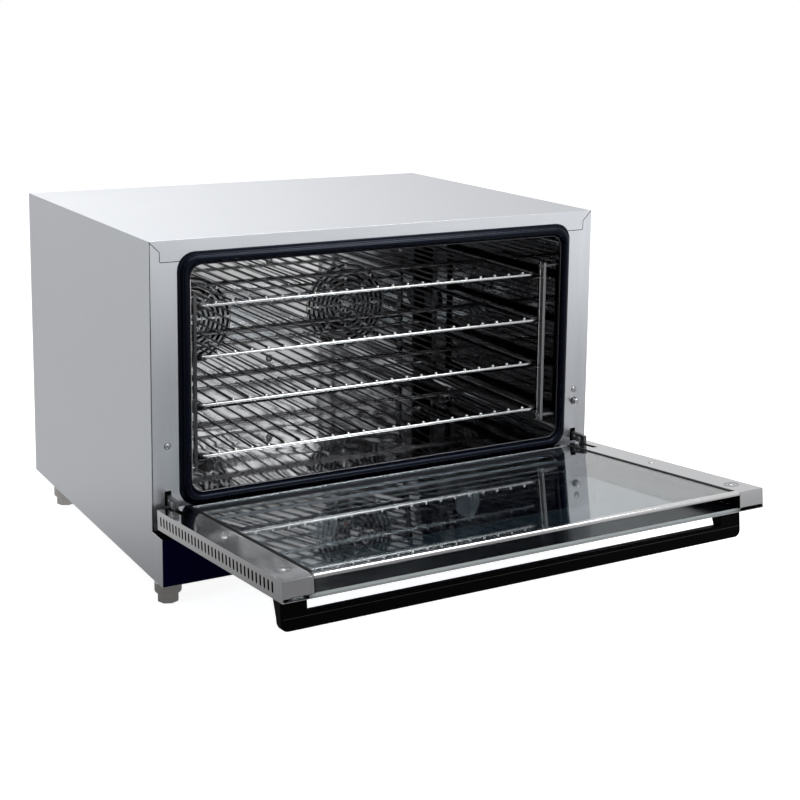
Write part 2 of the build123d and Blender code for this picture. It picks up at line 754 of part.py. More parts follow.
with BuildPart() as lamp_holder:
    with BuildSketch(beside(mouth_half)):
        with Locations((lamp_y, fan_z)):
            Circle(OVEN_LAMP_HOLDER)
    extrude(amount=OVEN_LAMP_HOLDER_LENGTH)
save(lamp_holder.part, "lamp_holder")

# Shelves of welded wire

lowest_shelf = mouth_low + SHELF_ABOVE_FLOOR
shelf_pitch = (mouth_tall - SHELF_ABOVE_FLOOR - SHELF_BELOW_ROOF) / (SHELVES - 1)
shelf_levels = [lowest_shelf + (SHELVES - 1 - row) * shelf_pitch for row in range(SHELVES)]
shelf_fronts = [SHELF_FRONT - SHELF_STAGGER * (row % 2) for row in range(SHELVES)]
shelf_half = mouth_half - SHELF_SIDE_GAP
shelf_length = baffle_depth - SHELF_FRONT - SHELF_REAR_GAP
bar_half = shelf_half - SHELF_BAR
wire_pitch = 2 * bar_half / (SHELF_WIRES + 1)


def wire_shelf(level, front):
    """Frame of thick wire, thin wires from front to back on top of it and two rungs below them."""
    first = FRONT_Y + front + SHELF_BAR
    last = first + shelf_length - 2 * SHELF_BAR
    wire_level = level + SHELF_BAR + SHELF_WIRE - WELD
    wire_end = SHELF_BAR / 3
    with BuildPart() as shelf:
        with BuildLine(Plane.XY.offset(level)):
            FilletPolyline(
                (-bar_half, first),
                (bar_half, first),
                (bar_half, last),
                (-bar_half, last),
                radius=SHELF_CORNER,
                close=True,
            )
        with BuildSketch(Plane(origin=(0, first, level), z_dir=(1, 0, 0))):
            Circle(SHELF_BAR)
        sweep()
        with BuildSketch(Plane.XZ.offset(-(first - wire_end))):
            with Locations((0, wire_level)):
                with GridLocations(wire_pitch, 1, SHELF_WIRES, 1):
                    Circle(SHELF_WIRE)
        extrude(amount=-(last - first + 2 * wire_end))
        with BuildSketch(Plane.YZ.offset(-bar_half)):
            with Locations((first + SHELF_RUNG_FIRST, level)):
                with GridLocations(SHELF_RUNG_PAIR, 1, 2, 1):
                    Circle(SHELF_RUNG)
        extrude(amount=2 * bar_half)
    return shelf.part


for row in range(SHELVES):
    save(wire_shelf(shelf_levels[row], shelf_fronts[row]), "shelf_" + str(row + 1))

# Side racks: two uprights and a rail for each shelf

rack_x = shelf_half + RACK_SIDE_GAP
rack_rear = baffle_depth - RACK_REAR_GAP
rack_low = shelf_levels[-1] - RACK_MARGIN
rack_high = shelf_levels[0] + RACK_MARGIN
rail_drop = SHELF_BAR + TOUCH_GAP
rack_screw_places = [
    (depth, z)
    for depth in (RACK_FRONT + UPRIGHT_LEG / 2, rack_rear - UPRIGHT_LEG / 2)
    for z in (rack_low + RACK_SCREW_INSET, rack_high - RACK_SCREW_INSET)
]


def side_rack(side):
    """Folded uprights and angled rails that carry the shelves."""
    rack_span = sorted((side * rack_x, side * (rack_x + UPRIGHT_WIDTH)))
    leg_span = sorted((side * rack_x, side * (rack_x + RACK_SHEET)))
    rail_span = sorted((side * (rack_x - RAIL_INWARD), side * (rack_x + RACK_SHEET)))
    with BuildPart() as rack:
        slab(rack_span, (RACK_FRONT, RACK_FRONT + RACK_SHEET), (rack_low, rack_high))
        slab(leg_span, (RACK_FRONT, RACK_FRONT + UPRIGHT_LEG), (rack_low, rack_high))
        slab(rack_span, (rack_rear - RACK_SHEET, rack_rear), (rack_low, rack_high))
        slab(leg_span, (rack_rear - UPRIGHT_LEG, rack_rear), (rack_low, rack_high))
        for level in shelf_levels:
            seat = level - rail_drop
            slab(rail_span, (RACK_FRONT, rack_rear), (seat - RACK_SHEET, seat))
            slab(leg_span, (RACK_FRONT, rack_rear), (seat - RAIL_LIP, seat))
        for depth, z in rack_screw_places:
            with BuildSketch(beside(side * rack_x)):
                with Locations((FRONT_Y + depth, z)):
                    Circle(RACK_SCREW_RADIUS + TOUCH_GAP)
            extrude(amount=side * RACK_SHEET, mode=Mode.SUBTRACT)
    return rack.part


def rack_screw_set():
    """Studs from the chamber walls with a flat head inside each rack leg."""
    with BuildPart() as studs:
        for side in (-1, 1):
            for depth, z in rack_screw_places:
                with BuildSketch(beside(side * rack_x)):
                    with Locations((FRONT_Y + depth, z)):
                        Circle(RACK_SCREW_RADIUS)
                extrude(amount=side * (mouth_half - rack_x))
                with BuildSketch(beside(side * rack_x)):
                    with Locations((FRONT_Y + depth, z)):
                        Circle(RACK_SCREW_HEAD)
                extrude(amount=-side * SCREW_CAP)
    return studs.part


save(side_rack(-1), "left_rack")
save(side_rack(1), "right_rack")
save(rack_screw_set(), "rack_screws")

# Control box, fascia, controllers and knobs

knob_z = control_top - KNOB_BELOW_TOP
knob_centres = [(-KNOB_SPACING / 2, knob_z), (KNOB_SPACING / 2, knob_z)]
lamp_place = (knob_centres[0][0] + LAMP_FROM_KNOB, knob_z)

with BuildPart() as control_box:
    for span in mirrored((inner_half, half_width)):
        slab(span, (control_front, 0), (base_z, control_top))
    slab(
        (-inner_half, inner_half),
        (control_front + FASCIA, 0),
        (control_top - CONTROL_TOP_DROP - SHEET, control_top - CONTROL_TOP_DROP),
    )
save(control_box.part, "control_box")

with BuildPart() as control_fascia:
    slab(
        (-inner_half, inner_half),
        (control_front, control_front + FASCIA),
        (base_z + SHEET, control_top - FASCIA_DROP),
    )
    with BuildSketch(facing(control_front)):
        with Locations(*knob_centres):
            Circle(SPINDLE_RADIUS + TOUCH_GAP)
        with Locations(lamp_place):
            Circle(LAMP_STEM + TOUCH_GAP)
    extrude(amount=-FASCIA, mode=Mode.SUBTRACT)
save(control_fascia.part, "control_fascia")


def controller(x, z):
    """Boxed control with its spindle through the fascia."""
    back = control_front + FASCIA
    with BuildPart() as box:
        side = CONTROLLER_SIZE / 2
        slab((x - side, x + side), (back, back + CONTROLLER_DEPTH), (z - side, z + side))
        rod(control_front - SPINDLE_LENGTH, back, SPINDLE_RADIUS, x, z)
    return box.part


def knob(x, z):
    """Round skirt with a raised grip bar across it."""
    skirt_back = control_front - KNOB_GAP
    skirt_front = skirt_back - KNOB_SKIRT
    with BuildPart() as dial:
        rod(skirt_front, skirt_back, KNOB_RADIUS, x, z)
        fillet(dial.edges().group_by(Axis.Y)[0], radius=KNOB_ROUND)
        with BuildSketch(facing(skirt_front)):
            with Locations((x, z)):
                SlotOverall(KNOB_GRIP_LENGTH, KNOB_GRIP_WIDTH, rotation=90)
        extrude(amount=KNOB_GRIP_HEIGHT)
        fillet(dial.edges().group_by(Axis.Y)[0], radius=KNOB_GRIP_ROUND)
        socket = (control_front - SPINDLE_LENGTH - TOUCH_GAP, skirt_back)
        rod(*socket, SPINDLE_RADIUS + RUNNING_GAP, x, z, mode=Mode.SUBTRACT)
    return dial.part


for name, centre in zip(("timer", "thermostat"), knob_centres):
    save(controller(*centre), name + "_body")
    save(knob(*centre), name + "_knob")

with BuildPart() as indicator_lamp:
    rod(control_front - LAMP_DOME, control_front, LAMP_RADIUS, *lamp_place)
    fillet(indicator_lamp.edges().group_by(Axis.Y)[0], radius=LAMP_ROUND)
    rod(control_front, control_front + LAMP_STEM_LENGTH, LAMP_STEM, *lamp_place)
save(indicator_lamp.part, "indicator_lamp")

# Mains entry

with BuildPart() as cable_gland:
    with BuildSketch(facing(DEPTH)):
        with Locations((gland_x, gland_z)):
            RegularPolygon(GLAND_RADIUS, GLAND_SIDES)
    extrude(amount=-GLAND_LENGTH / 2)
    gland_end = DEPTH + GLAND_LENGTH
    locknut = (DEPTH - SHEET - GLAND_LOCKNUT_LENGTH, DEPTH - SHEET)
    rod(DEPTH + GLAND_LENGTH / 2, gland_end, GLAND_CAP, gland_x, gland_z)
    rod(DEPTH - GLAND_INSIDE, DEPTH, GLAND_THREAD, gland_x, gland_z)
    rod(*locknut, GLAND_LOCKNUT, gland_x, gland_z)
    rod(DEPTH - GLAND_INSIDE, gland_end, GLAND_BORE, gland_x, gland_z, mode=Mode.SUBTRACT)
save(cable_gland.part, "cable_gland")

with BuildPart() as terminal_block:
    terminal_x = (gland_x + TERMINAL_ASIDE, gland_x + TERMINAL_ASIDE + TERMINAL_LENGTH)
    terminal_depth = (DEPTH - TERMINAL_AHEAD - TERMINAL_DEPTH, DEPTH - TERMINAL_AHEAD)
    terminal_high = base_z + SHEET + TERMINAL_HEIGHT
    slab(terminal_x, terminal_depth, (base_z + SHEET, terminal_high))
    with Locations((sum(terminal_x) / 2, FRONT_Y + sum(terminal_depth) / 2, terminal_high)):
        with GridLocations(TERMINAL_PITCH, 1, TERMINAL_WAYS, 1):
            Box(*TERMINAL_WELL, mode=Mode.SUBTRACT)
save(terminal_block.part, "terminal_block")

# Door frame folded from sheet, open for the two panes

strip_in = door_half - STRIP_WIDTH
arm_slot = (PIVOT_UP - ARM_WEB_BACK, PIVOT_UP + ARM_BAR_HIGH + HINGE_SLOT_GAP)
strip_screws = (STRIP_SCREW_LOW, door_length - STRIP_SCREW_FROM_TOP)
side_slots = 1 + int((door_length - SIDE_SLOT_START - SIDE_SLOT_END) / SIDE_SLOT_PITCH)
slot_middle = SIDE_SLOT_START + (side_slots - 1) * SIDE_SLOT_PITCH / 2
outer_low = DOOR_THICKNESS - SHEET

with BuildPart(DOOR) as door_frame:
    for span in mirrored((door_half - SHEET, door_half)):
        block(span, (0, door_length), (0, DOOR_THICKNESS))
    for span in mirrored((strip_in, door_half)):
        block(span, (0, door_length), (0, SHEET))
        block(span, (0, door_length), (outer_low, DOOR_THICKNESS))
        block(span, (0, SHEET), (0, DOOR_THICKNESS))
    block((-strip_in, strip_in), (0, LIP_WIDTH), (outer_low, DOOR_THICKNESS))
    block((-strip_in, strip_in), (door_length - LIP_WIDTH, door_length), (outer_low, DOOR_THICKNESS))
    block((-strip_in, strip_in), (0, SHEET), (DOOR_THICKNESS - EDGE_STRIP_OUT, DOOR_THICKNESS))
    block((-strip_in, strip_in), (0, SHEET), (0, EDGE_STRIP_IN))
    block((-strip_in, strip_in), (0, PANE_START), (0, SHEET))
    for side in (-1, 1):
        x = side * arm_x
        block((x - HINGE_SLOT_WIDTH / 2, x + HINGE_SLOT_WIDTH / 2), arm_slot, (0, SHEET), Mode.SUBTRACT)
        for along in strip_screws:
            with Locations((x, along, SHEET / 2)):
                Cylinder(SCREW_SHANK + TOUCH_GAP, SHEET, mode=Mode.SUBTRACT)
    with BuildSketch(door_section(-door_half)):
        with Locations((slot_middle, DOOR_THICKNESS / 2)):
            with GridLocations(SIDE_SLOT_PITCH, 1, side_slots, 1):
                SlotOverall(SIDE_SLOT_LENGTH, SIDE_SLOT_WIDTH, rotation=90)
    extrude(amount=2 * door_half, mode=Mode.SUBTRACT)
save(door_frame.part, "door_frame")

# Panes, seals, trim

pane_half = strip_in - SEAL_WIDTH
pane_top = door_length - PANE_END
outer_pane_half = strip_in + OUTER_PANE_LAP
outer_pane_span = (OUTER_PANE_START, door_length - OUTER_PANE_END)

with BuildPart(DOOR) as inner_glass:
    block((-pane_half, pane_half), (PANE_START, pane_top), (PANE_DROP, PANE_DROP + GLASS))
save(inner_glass.part, "inner_glass")

with BuildPart(DOOR) as outer_glass:
    block((-outer_pane_half, outer_pane_half), outer_pane_span, (outer_low - GLASS, outer_low))
save(outer_glass.part, "outer_glass")

with BuildPart(DOOR) as side_seals:
    for span in mirrored((pane_half, strip_in)):
        block(span, (PANE_START, door_length - TRIM_WIDTH), (0, PANE_DROP + GLASS))
save(side_seals.part, "side_seals")

with BuildPart() as glass_trim:
    with BuildSketch(door_section(-strip_in + TOUCH_GAP)):
        with Locations((door_length - TRIM_WIDTH / 2, TRIM_DEPTH / 2 - TRIM_RISE)):
            RectangleRounded(TRIM_WIDTH, TRIM_DEPTH, TRIM_ROUND)
        with Locations((pane_top - TRIM_WIDTH / 2, PANE_DROP + GLASS / 2)):
            Rectangle(TRIM_WIDTH, GLASS, mode=Mode.SUBTRACT)
    extrude(amount=2 * (strip_in - TOUCH_GAP))
save(glass_trim.part, "glass_trim")

# Corner blocks that close the free ends of the door sides

block_back = door_length - CORNER_BLOCK_LENGTH
block_span = (strip_in + TOUCH_GAP, door_half - SHEET)
block_deep = (SHEET, outer_low - GLASS - TOUCH_GAP)
hollow_deep = (block_deep[0] + CORNER_BLOCK_WALL, block_deep[1] - CORNER_BLOCK_WALL)

with BuildPart(DOOR) as corner_blocks:
    for span in mirrored(block_span):
        block(span, (block_back, door_length), block_deep)
        hollow = (span[0] + CORNER_BLOCK_WALL, span[1] - CORNER_BLOCK_WALL)
        block(hollow, (block_back, door_length - CORNER_BLOCK_WALL), hollow_deep, Mode.SUBTRACT)
save(corner_blocks.part, "corner_blocks")

# Handle: a bar between two tapered posts

handle_front = door_length - HANDLE_FROM_TOP
handle_half = door_half - HANDLE_END_GAP
handle_far = DOOR_THICKNESS + HANDLE_PROJECTION
post_places = [side * (handle_half - HANDLE_POST_WIDTH / 2) for side in (-1, 1)]

with BuildPart() as handle:
    for post_x in post_places:
        with BuildSketch(door_section(post_x - HANDLE_POST_WIDTH / 2)):
            with BuildLine():
                Polyline(
                    (handle_front, DOOR_THICKNESS),
                    (handle_front, handle_far),
                    (handle_front - HANDLE_BAR_DEPTH, handle_far),
                    (handle_front - HANDLE_BAR_DEPTH - HANDLE_TAPER, handle_far - HANDLE_SHOULDER),
                    (handle_front - HANDLE_POST_DEPTH, DOOR_THICKNESS),
                    close=True,
                )
            make_face()
        extrude(amount=HANDLE_POST_WIDTH)
    with BuildSketch(door_section(-handle_half)):
        with BuildLine():
            Polyline(
                (handle_front, DOOR_THICKNESS + HANDLE_FINGER_GAP),
                (handle_front, handle_far),
                (handle_front - HANDLE_BAR_DEPTH, handle_far),
                (handle_front - HANDLE_BAR_DEPTH, DOOR_THICKNESS + HANDLE_FINGER_GAP),
                close=True,
            )
        make_face()
    extrude(amount=2 * handle_half)
    corners = handle.edges().filter_by(lambda e: abs(DOOR.to_local_coords(e.center()).Z - handle_far) < 0.1)
    ends = corners.filter_by(lambda e: abs(abs(e.center().X) - handle_half) < 0.1)
    fillet(ends, radius=HANDLE_CORNER)
save(handle.part, "handle")

with BuildPart(DOOR) as door_screws:
    for x in (-arm_x, arm_x):
        for along in strip_screws:
            with Locations((x, along, -SCREW_CAP / 2)):
                Cylinder(SCREW_HEAD, SCREW_CAP)
            with Locations((x, along, SCREW_LENGTH / 2)):
                Cylinder(SCREW_SHANK, SCREW_LENGTH)
    for post_x in post_places:
        with Locations((post_x, handle_front - HANDLE_POST_DEPTH / 2, outer_low - SCREW_CAP / 2)):
            with GridLocations(1, HANDLE_POST_DEPTH / 2, 1, 2):
                Cylinder(SCREW_HEAD, SCREW_CAP)
save(door_screws.part, "door_screws")

# Hinges: fixed arms, their brackets behind the stiles, and channels with pins in the door

arm_bar_back = -pivot_depth + ARM_REACH
arm_faces = (arm_x - ARM_THICKNESS / 2, arm_x + ARM_THICKNESS / 2)


def hinge_arm(x):
    """Boss round the door's pin, a web up through the door's slot and a bar back into the stile."""
    with BuildSketch(beside(x)) as profile:
        with Locations((FRONT_Y + pivot_depth, pivot_z)):
            Circle(ARM_BOSS)
            with Locations(((ARM_WEB_BACK - ARM_WEB_FRONT) / 2, ARM_BAR_HIGH / 2)):
                Rectangle(ARM_WEB_FRONT + ARM_WEB_BACK, ARM_BAR_HIGH)
            with Locations(((arm_bar_back - ARM_WEB_FRONT) / 2, (ARM_BAR_LOW + ARM_BAR_HIGH) / 2)):
                Rectangle(ARM_WEB_FRONT + arm_bar_back, ARM_BAR_HIGH - ARM_BAR_LOW)
            Circle(HINGE_PIN_RADIUS + RUNNING_GAP, mode=Mode.SUBTRACT)
            with Locations((-pivot_depth + ARM_REACH / 2, (ARM_BAR_LOW + ARM_BAR_HIGH) / 2)):
                Circle(HINGE_PIN_RADIUS, mode=Mode.SUBTRACT)
    extrude(profile.sketch, amount=ARM_THICKNESS)


with BuildPart() as hinge_arms:
    for span in mirrored(arm_faces):
        hinge_arm(span[0])
save(hinge_arms.part, "hinge_arms")

bracket_low = pivot_z + ARM_BAR_LOW - BRACKET_MARGIN
bracket_high = pivot_z + ARM_BAR_HIGH + BRACKET_MARGIN

with BuildPart() as hinge_brackets:
    for span in mirrored(arm_faces):
        wall = ARM_THICKNESS / 2 + BRACKET_WALL
        middle = (span[0] + span[1]) / 2
        slab((middle - wall, middle + wall), (SHEET, ARM_REACH + BRACKET_BACK), (bracket_low, bracket_high))
        slab(
            (span[0] - TOUCH_GAP / 2, span[1] + TOUCH_GAP / 2),
            (SHEET, ARM_REACH + TOUCH_GAP),
            (pivot_z + ARM_BAR_LOW - TOUCH_GAP, pivot_z + ARM_BAR_HIGH + TOUCH_GAP),
            Mode.SUBTRACT,
        )
save(hinge_brackets.part, "hinge_brackets")

channel_half = ARM_THICKNESS / 2 + ARM_SIDE_GAP
channel_out = channel_half + CHANNEL_WALL
channel_deep = (SHEET, outer_low)
channel_end = CHANNEL_START + CHANNEL_LENGTH

with BuildPart(DOOR) as hinge_channels:
    for x in (-arm_x, arm_x):
        for wall in ((x - channel_out, x - channel_half), (x + channel_half, x + channel_out)):
            block(wall, (CHANNEL_START, channel_end), channel_deep)
        block((x - channel_out, x + channel_out), (channel_end, channel_end + CHANNEL_WALL), channel_deep)
    with BuildSketch(door_section(-door_half)):
        with Locations((PIVOT_UP, pivot_in)):
            Circle(HINGE_PIN_RADIUS + RUNNING_GAP)
    extrude(amount=2 * door_half, mode=Mode.SUBTRACT)
save(hinge_channels.part, "hinge_channels")

with BuildPart() as hinge_pins:
    for side in (-1, 1):
        with BuildSketch(door_section(side * arm_x - channel_out)):
            with Locations((PIVOT_UP, pivot_in)):
                Circle(HINGE_PIN_RADIUS)
        extrude(amount=2 * channel_out)
save(hinge_pins.part, "hinge_pins")

# Door switch: a sprung plunger in the right stile and its body behind

with BuildPart() as door_switch_plunger:
    rod(-(SEAL_GAP - 2 * TOUCH_GAP), PLUNGER_TRAVEL + 2 * SHEET, PLUNGER_RADIUS, arm_x, plunger_z)
    fillet(door_switch_plunger.edges().group_by(Axis.Y)[0], radius=PLUNGER_ROUND)
save(door_switch_plunger.part, "door_switch_plunger")

with BuildPart() as door_switch:
    switch_x = (arm_x - SWITCH_BODY_WIDTH / 2, arm_x + SWITCH_BODY_WIDTH / 2)
    switch_z = (plunger_z - SWITCH_BODY_HEIGHT / 2, plunger_z + SWITCH_BODY_HEIGHT / 2)
    slab(switch_x, (SHEET, SHEET + SWITCH_BODY_LENGTH), switch_z)
    well = (SHEET, 2 * PLUNGER_TRAVEL + 3 * SHEET)
    rod(*well, PLUNGER_RADIUS + RUNNING_GAP, arm_x, plunger_z, mode=Mode.SUBTRACT)
save(door_switch.part, "door_switch")

# Feet: fixed round cups and faceted feet that screw out of them

with BuildPart() as foot_cups:
    with BuildSketch(Plane.XY.offset(base_z - CUP_HEIGHT)):
        with Locations(*feet):
            Circle(CUP_RADIUS)
    extrude(amount=CUP_HEIGHT)
    fillet(foot_cups.edges().group_by(Axis.Z)[0], radius=CUP_ROUND)
    with BuildSketch(Plane.XY.offset(base_z - CUP_HEIGHT)):
        with Locations(*feet):
            Circle(FOOT_STUD + RUNNING_GAP)
    extrude(amount=CUP_HEIGHT, mode=Mode.SUBTRACT)
save(foot_cups.part, "foot_cups")


def levelling_foot(place):
    """Faceted foot with a stud up through the cup and the base pan."""
    x, y = place
    foot_high = base_z - CUP_HEIGHT - TOUCH_GAP
    with BuildPart() as foot:
        with BuildSketch(Plane.XY):
            with Locations((x, y)):
                RegularPolygon(FOOT_RADIUS, FOOT_SIDES)
        extrude(amount=foot_high)
        fillet(foot.edges().group_by(Axis.Z)[0], radius=FOOT_ROUND)
        with BuildSketch(Plane.XY.offset(foot_high)):
            with Locations((x, y)):
                Circle(FOOT_STUD)
        extrude(amount=CUP_HEIGHT + TOUCH_GAP + SHEET + FOOT_TRAVEL)
    return foot.part


for name, place in zip(("front_left", "rear_left", "front_right", "rear_right"), feet):
    save(levelling_foot(place), name + "_foot")
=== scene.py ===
import json
import math
from functools import partial

import bmesh
import bpy
from mathutils import Matrix, Vector, noise


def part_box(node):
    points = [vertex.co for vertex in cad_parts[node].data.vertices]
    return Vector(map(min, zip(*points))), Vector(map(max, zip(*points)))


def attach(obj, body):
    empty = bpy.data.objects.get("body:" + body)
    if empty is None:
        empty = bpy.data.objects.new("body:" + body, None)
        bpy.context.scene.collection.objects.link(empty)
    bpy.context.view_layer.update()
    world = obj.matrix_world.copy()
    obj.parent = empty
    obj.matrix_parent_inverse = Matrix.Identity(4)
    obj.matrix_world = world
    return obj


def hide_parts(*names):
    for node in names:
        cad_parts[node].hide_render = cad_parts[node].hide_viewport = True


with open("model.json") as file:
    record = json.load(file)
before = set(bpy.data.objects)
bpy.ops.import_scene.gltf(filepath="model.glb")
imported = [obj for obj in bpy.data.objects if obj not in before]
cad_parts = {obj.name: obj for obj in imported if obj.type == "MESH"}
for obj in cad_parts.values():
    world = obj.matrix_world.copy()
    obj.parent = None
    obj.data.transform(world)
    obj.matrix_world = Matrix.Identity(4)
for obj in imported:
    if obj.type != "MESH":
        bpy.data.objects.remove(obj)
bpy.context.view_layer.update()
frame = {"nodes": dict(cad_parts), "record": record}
nodes = frame["nodes"]
stage_collection = bpy.context.scene.collection

# Places on the cabinet in metres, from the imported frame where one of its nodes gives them

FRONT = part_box("chamber_front")[0].y - 0.001
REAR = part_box("rear_panel")[1].y
CONTROL_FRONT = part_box("control_fascia")[0].y
MOUTH_HALF = 0.350
MOUTH_LOW = 0.165
MOUTH_HIGH = 0.531
MOUTH_CORNER = 0.020
STILE_X = 0.390
STILE_SCREW_Z = 0.246
KNOB_X = 0.138
KNOB_Z = 0.079
FAN_X = 0.167
FAN_Z = 0.3365
SIDES = (-1, 1)
UP = (0, 0, 1)
TO_FRONT = (0, -1, 0)

# The open door: u runs from the hinge edge to the free edge and w goes outwards, down to the floor

DOOR_TILT = math.radians(5.5)
HINGE_EDGE_Y = -0.111601
HINGE_EDGE_Z = 0.150274
DOOR = Matrix((
    (1, 0, 0, 0),
    (0, -math.cos(DOOR_TILT), -math.sin(DOOR_TILT), HINGE_EDGE_Y),
    (0, math.sin(DOOR_TILT), -math.cos(DOOR_TILT), HINGE_EDGE_Z),
    (0, 0, 0, 1),
))
DOOR_INWARDS = DOOR.to_3x3() @ Vector((0, 0, -1))
DOOR_SCREW_U = 0.412


# Node trees: one call makes a node, sets its properties and feeds its inputs

def node(tree, kind, inputs=None, **settings):
    made = tree.nodes.new(kind)
    for key, value in settings.items():
        setattr(made, key, value)
    for key, value in (inputs or {}).items():
        if isinstance(value, bpy.types.NodeSocket):
            tree.links.new(value, made.inputs[key])
        else:
            made.inputs[key].default_value = value
    return made


def maths(tree, operation, first, second):
    return node(tree, "ShaderNodeMath", {0: first, 1: second}, operation=operation).outputs[0]


def mixed(tree, factor, first, second):
    return node(tree, "ShaderNodeMix", {"Factor": factor, 2: first, 3: second}).outputs[0]


def object_place(tree):
    return node(tree, "ShaderNodeTexCoord").outputs["Object"]


def clouds(tree, place, scale, **values):
    return node(tree, "ShaderNodeTexNoise", {"Vector": place, "Scale": scale, **values}).outputs["Fac"]


def effect_group(name, inputs, outputs):
    """Shader node group with named inputs as {name: (kind, value)} and outputs as {name: kind}."""
    tree = bpy.data.node_groups.new(name, "ShaderNodeTree")
    for title, (kind, value) in inputs.items():
        made = tree.interface.new_socket(title, in_out="INPUT", socket_type="NodeSocket" + kind)
        made.default_value = value
    for title, kind in outputs.items():
        tree.interface.new_socket(title, in_out="OUTPUT", socket_type="NodeSocket" + kind)
    return tree, tree.nodes.new("NodeGroupInput").outputs, tree.nodes.new("NodeGroupOutput")


def brushing_group():
    """Fine parallel scratches along one direction, with broader uneven bands."""
    tree, given, out = effect_group(
        "brushing",
        {"Stretch": ("Vector", (20, 20, 900)), "Bands": ("Float", 0.35)},
        {"Tone": "Float", "Height": "Float"},
    )
    stretched = {0: object_place(tree), 1: given["Stretch"]}
    along = node(tree, "ShaderNodeVectorMath", stretched, operation="MULTIPLY").outputs[0]
    hairs = clouds(tree, along, 1.0, Detail=5.0, Roughness=0.75)
    wide = node(tree, "ShaderNodeVectorMath", {0: along, "Scale": 0.06}, operation="SCALE").outputs[0]
    bands = clouds(tree, wide, 1.0, Detail=2.0)
    tree.links.new(mixed(tree, given["Bands"], hairs, bands), out.inputs["Tone"])
    tree.links.new(hairs, out.inputs["Height"])
    return tree


def smudge_group():
    """Soft cloudy patches where a surface was wiped or touched."""
    tree, given, out = effect_group(
        "smudges",
        {"Size": ("Float", 5.0), "Sharpness": ("Float", 0.2)},
        {"Mask": "Float"},
    )
    cloud = clouds(tree, object_place(tree), given["Size"], Detail=4.0, Roughness=0.6, Distortion=0.8)
    low = maths(tree, "SUBTRACT", 0.5, given["Sharpness"])
    high = maths(tree, "ADD", 0.5, given["Sharpness"])
    mask = node(tree, "ShaderNodeMapRange", {"Value": cloud, "From Min": low, "From Max": high})
    tree.links.new(mask.outputs[0], out.inputs["Mask"])
    return tree


def grain_group():
    """Even fine grain of moulded plastic, rubber or cast metal."""
    tree, given, out = effect_group(
        "grain",
        {"Size": ("Float", 900.0), "Roughness": ("Float", 0.6)},
        {"Tone": "Float", "Height": "Float"},
    )
    place = object_place(tree)
    fine = clouds(tree, place, given["Size"], Detail=3.0, Roughness=given["Roughness"])
    broad = clouds(tree, place, 14.0, Detail=2.0)
    tree.links.new(mixed(tree, 0.5, fine, broad), out.inputs["Tone"])
    tree.links.new(fine, out.inputs["Height"])
    return tree


def fibre_group():
    """Matted fibres that lie in all directions."""
    outputs = {"Tone": "Float", "Height": "Float"}
    tree, given, out = effect_group("fibres", {"Size": ("Float", 160.0)}, outputs)
    matted = clouds(tree, object_place(tree), given["Size"], Detail=6.0, Roughness=0.8, Distortion=3.0)
    tree.links.new(matted, out.inputs["Tone"])
    tree.links.new(matted, out.inputs["Height"])
    return tree


BRUSHING = brushing_group()
SMUDGES = smudge_group()
GRAIN = grain_group()
FIBRES = fibre_group()


# Materials

def surface(name, **values):
    """Material with one Principled shader whose sockets are set by name."""
    made = bpy.data.materials.new(name)
    made.use_nodes = True
    shader = made.node_tree.nodes["Principled BSDF"]
    for key, value in values.items():
        shader.inputs[key.replace("_", " ")].default_value = value
    return made, made.node_tree, shader


def placed(tree, group, **values):
    made = node(tree, "ShaderNodeGroup", node_tree=group)
    for key, value in values.items():
        made.inputs[key].default_value = value
    return made.outputs


def tinted(tree, shader, mask, dark, light):
    shades = {"Factor": mask, 6: (*dark, 1), 7: (*light, 1)}
    colour = node(tree, "ShaderNodeMix", shades, data_type="RGBA").outputs[2]
    tree.links.new(colour, shader.inputs["Base Color"])


def ranged(tree, value, low, high):
    """A noise value spread from low to high."""
    return node(tree, "ShaderNodeMapRange", {
        "Value": value, "From Min": 0.3, "From Max": 0.7, "To Min": low, "To Max": high,
    }).outputs[0]


def bumped(tree, shader, height, depth, distance):
    bump = node(tree, "ShaderNodeBump", {"Strength": depth, "Distance": distance, "Height": height})
    tree.links.new(bump.outputs[0], shader.inputs["Normal"])


# What a wiped patch adds to the roughness, and the heights between which the floor's waves fade

WIPED = 0.05
WAVES_FADE = (0.166, 0.172)


def metal(name, colour, rough, stretch, depth=0.1, spread=0.06, contrast=0.06, waves=0.0,
          floor_waves=0.0):
    """Sheet steel, brushed along the axis whose stretch is small, with faint wiped patches.

    Waves are the soft dents of thin polished sheet, stronger on the chamber's floor.
    """
    made, tree, shader = surface(name, Metallic=1.0)
    brushing = placed(tree, BRUSHING, Stretch=stretch)
    smudge = placed(tree, SMUDGES, Size=4.0, Sharpness=0.25)["Mask"]
    dark = [c * (1 - contrast) for c in colour]
    light = [min(1, c * (1 + contrast)) for c in colour]
    tinted(tree, shader, brushing["Tone"], dark, light)
    streaks = ranged(tree, brushing["Tone"], rough - spread, rough + spread)
    wiped = node(tree, "ShaderNodeMath", {0: smudge, 1: WIPED, 2: streaks}, operation="MULTIPLY_ADD")
    tree.links.new(wiped.outputs[0], shader.inputs["Roughness"])
    height = brushing["Height"]
    if waves:
        place = object_place(tree)
        swell = clouds(tree, place, 9.0, Detail=1.0, Distortion=0.6)
        on_floor = node(tree, "ShaderNodeMapRange", {
            "Value": node(tree, "ShaderNodeSeparateXYZ", {"Vector": place}).outputs["Z"],
            "From Min": WAVES_FADE[0], "From Max": WAVES_FADE[1],
            "To Min": waves + floor_waves, "To Max": waves,
        })
        height = maths(tree, "MULTIPLY", swell, on_floor.outputs[0])
    bumped(tree, shader, height, depth, 0.0002)
    return made


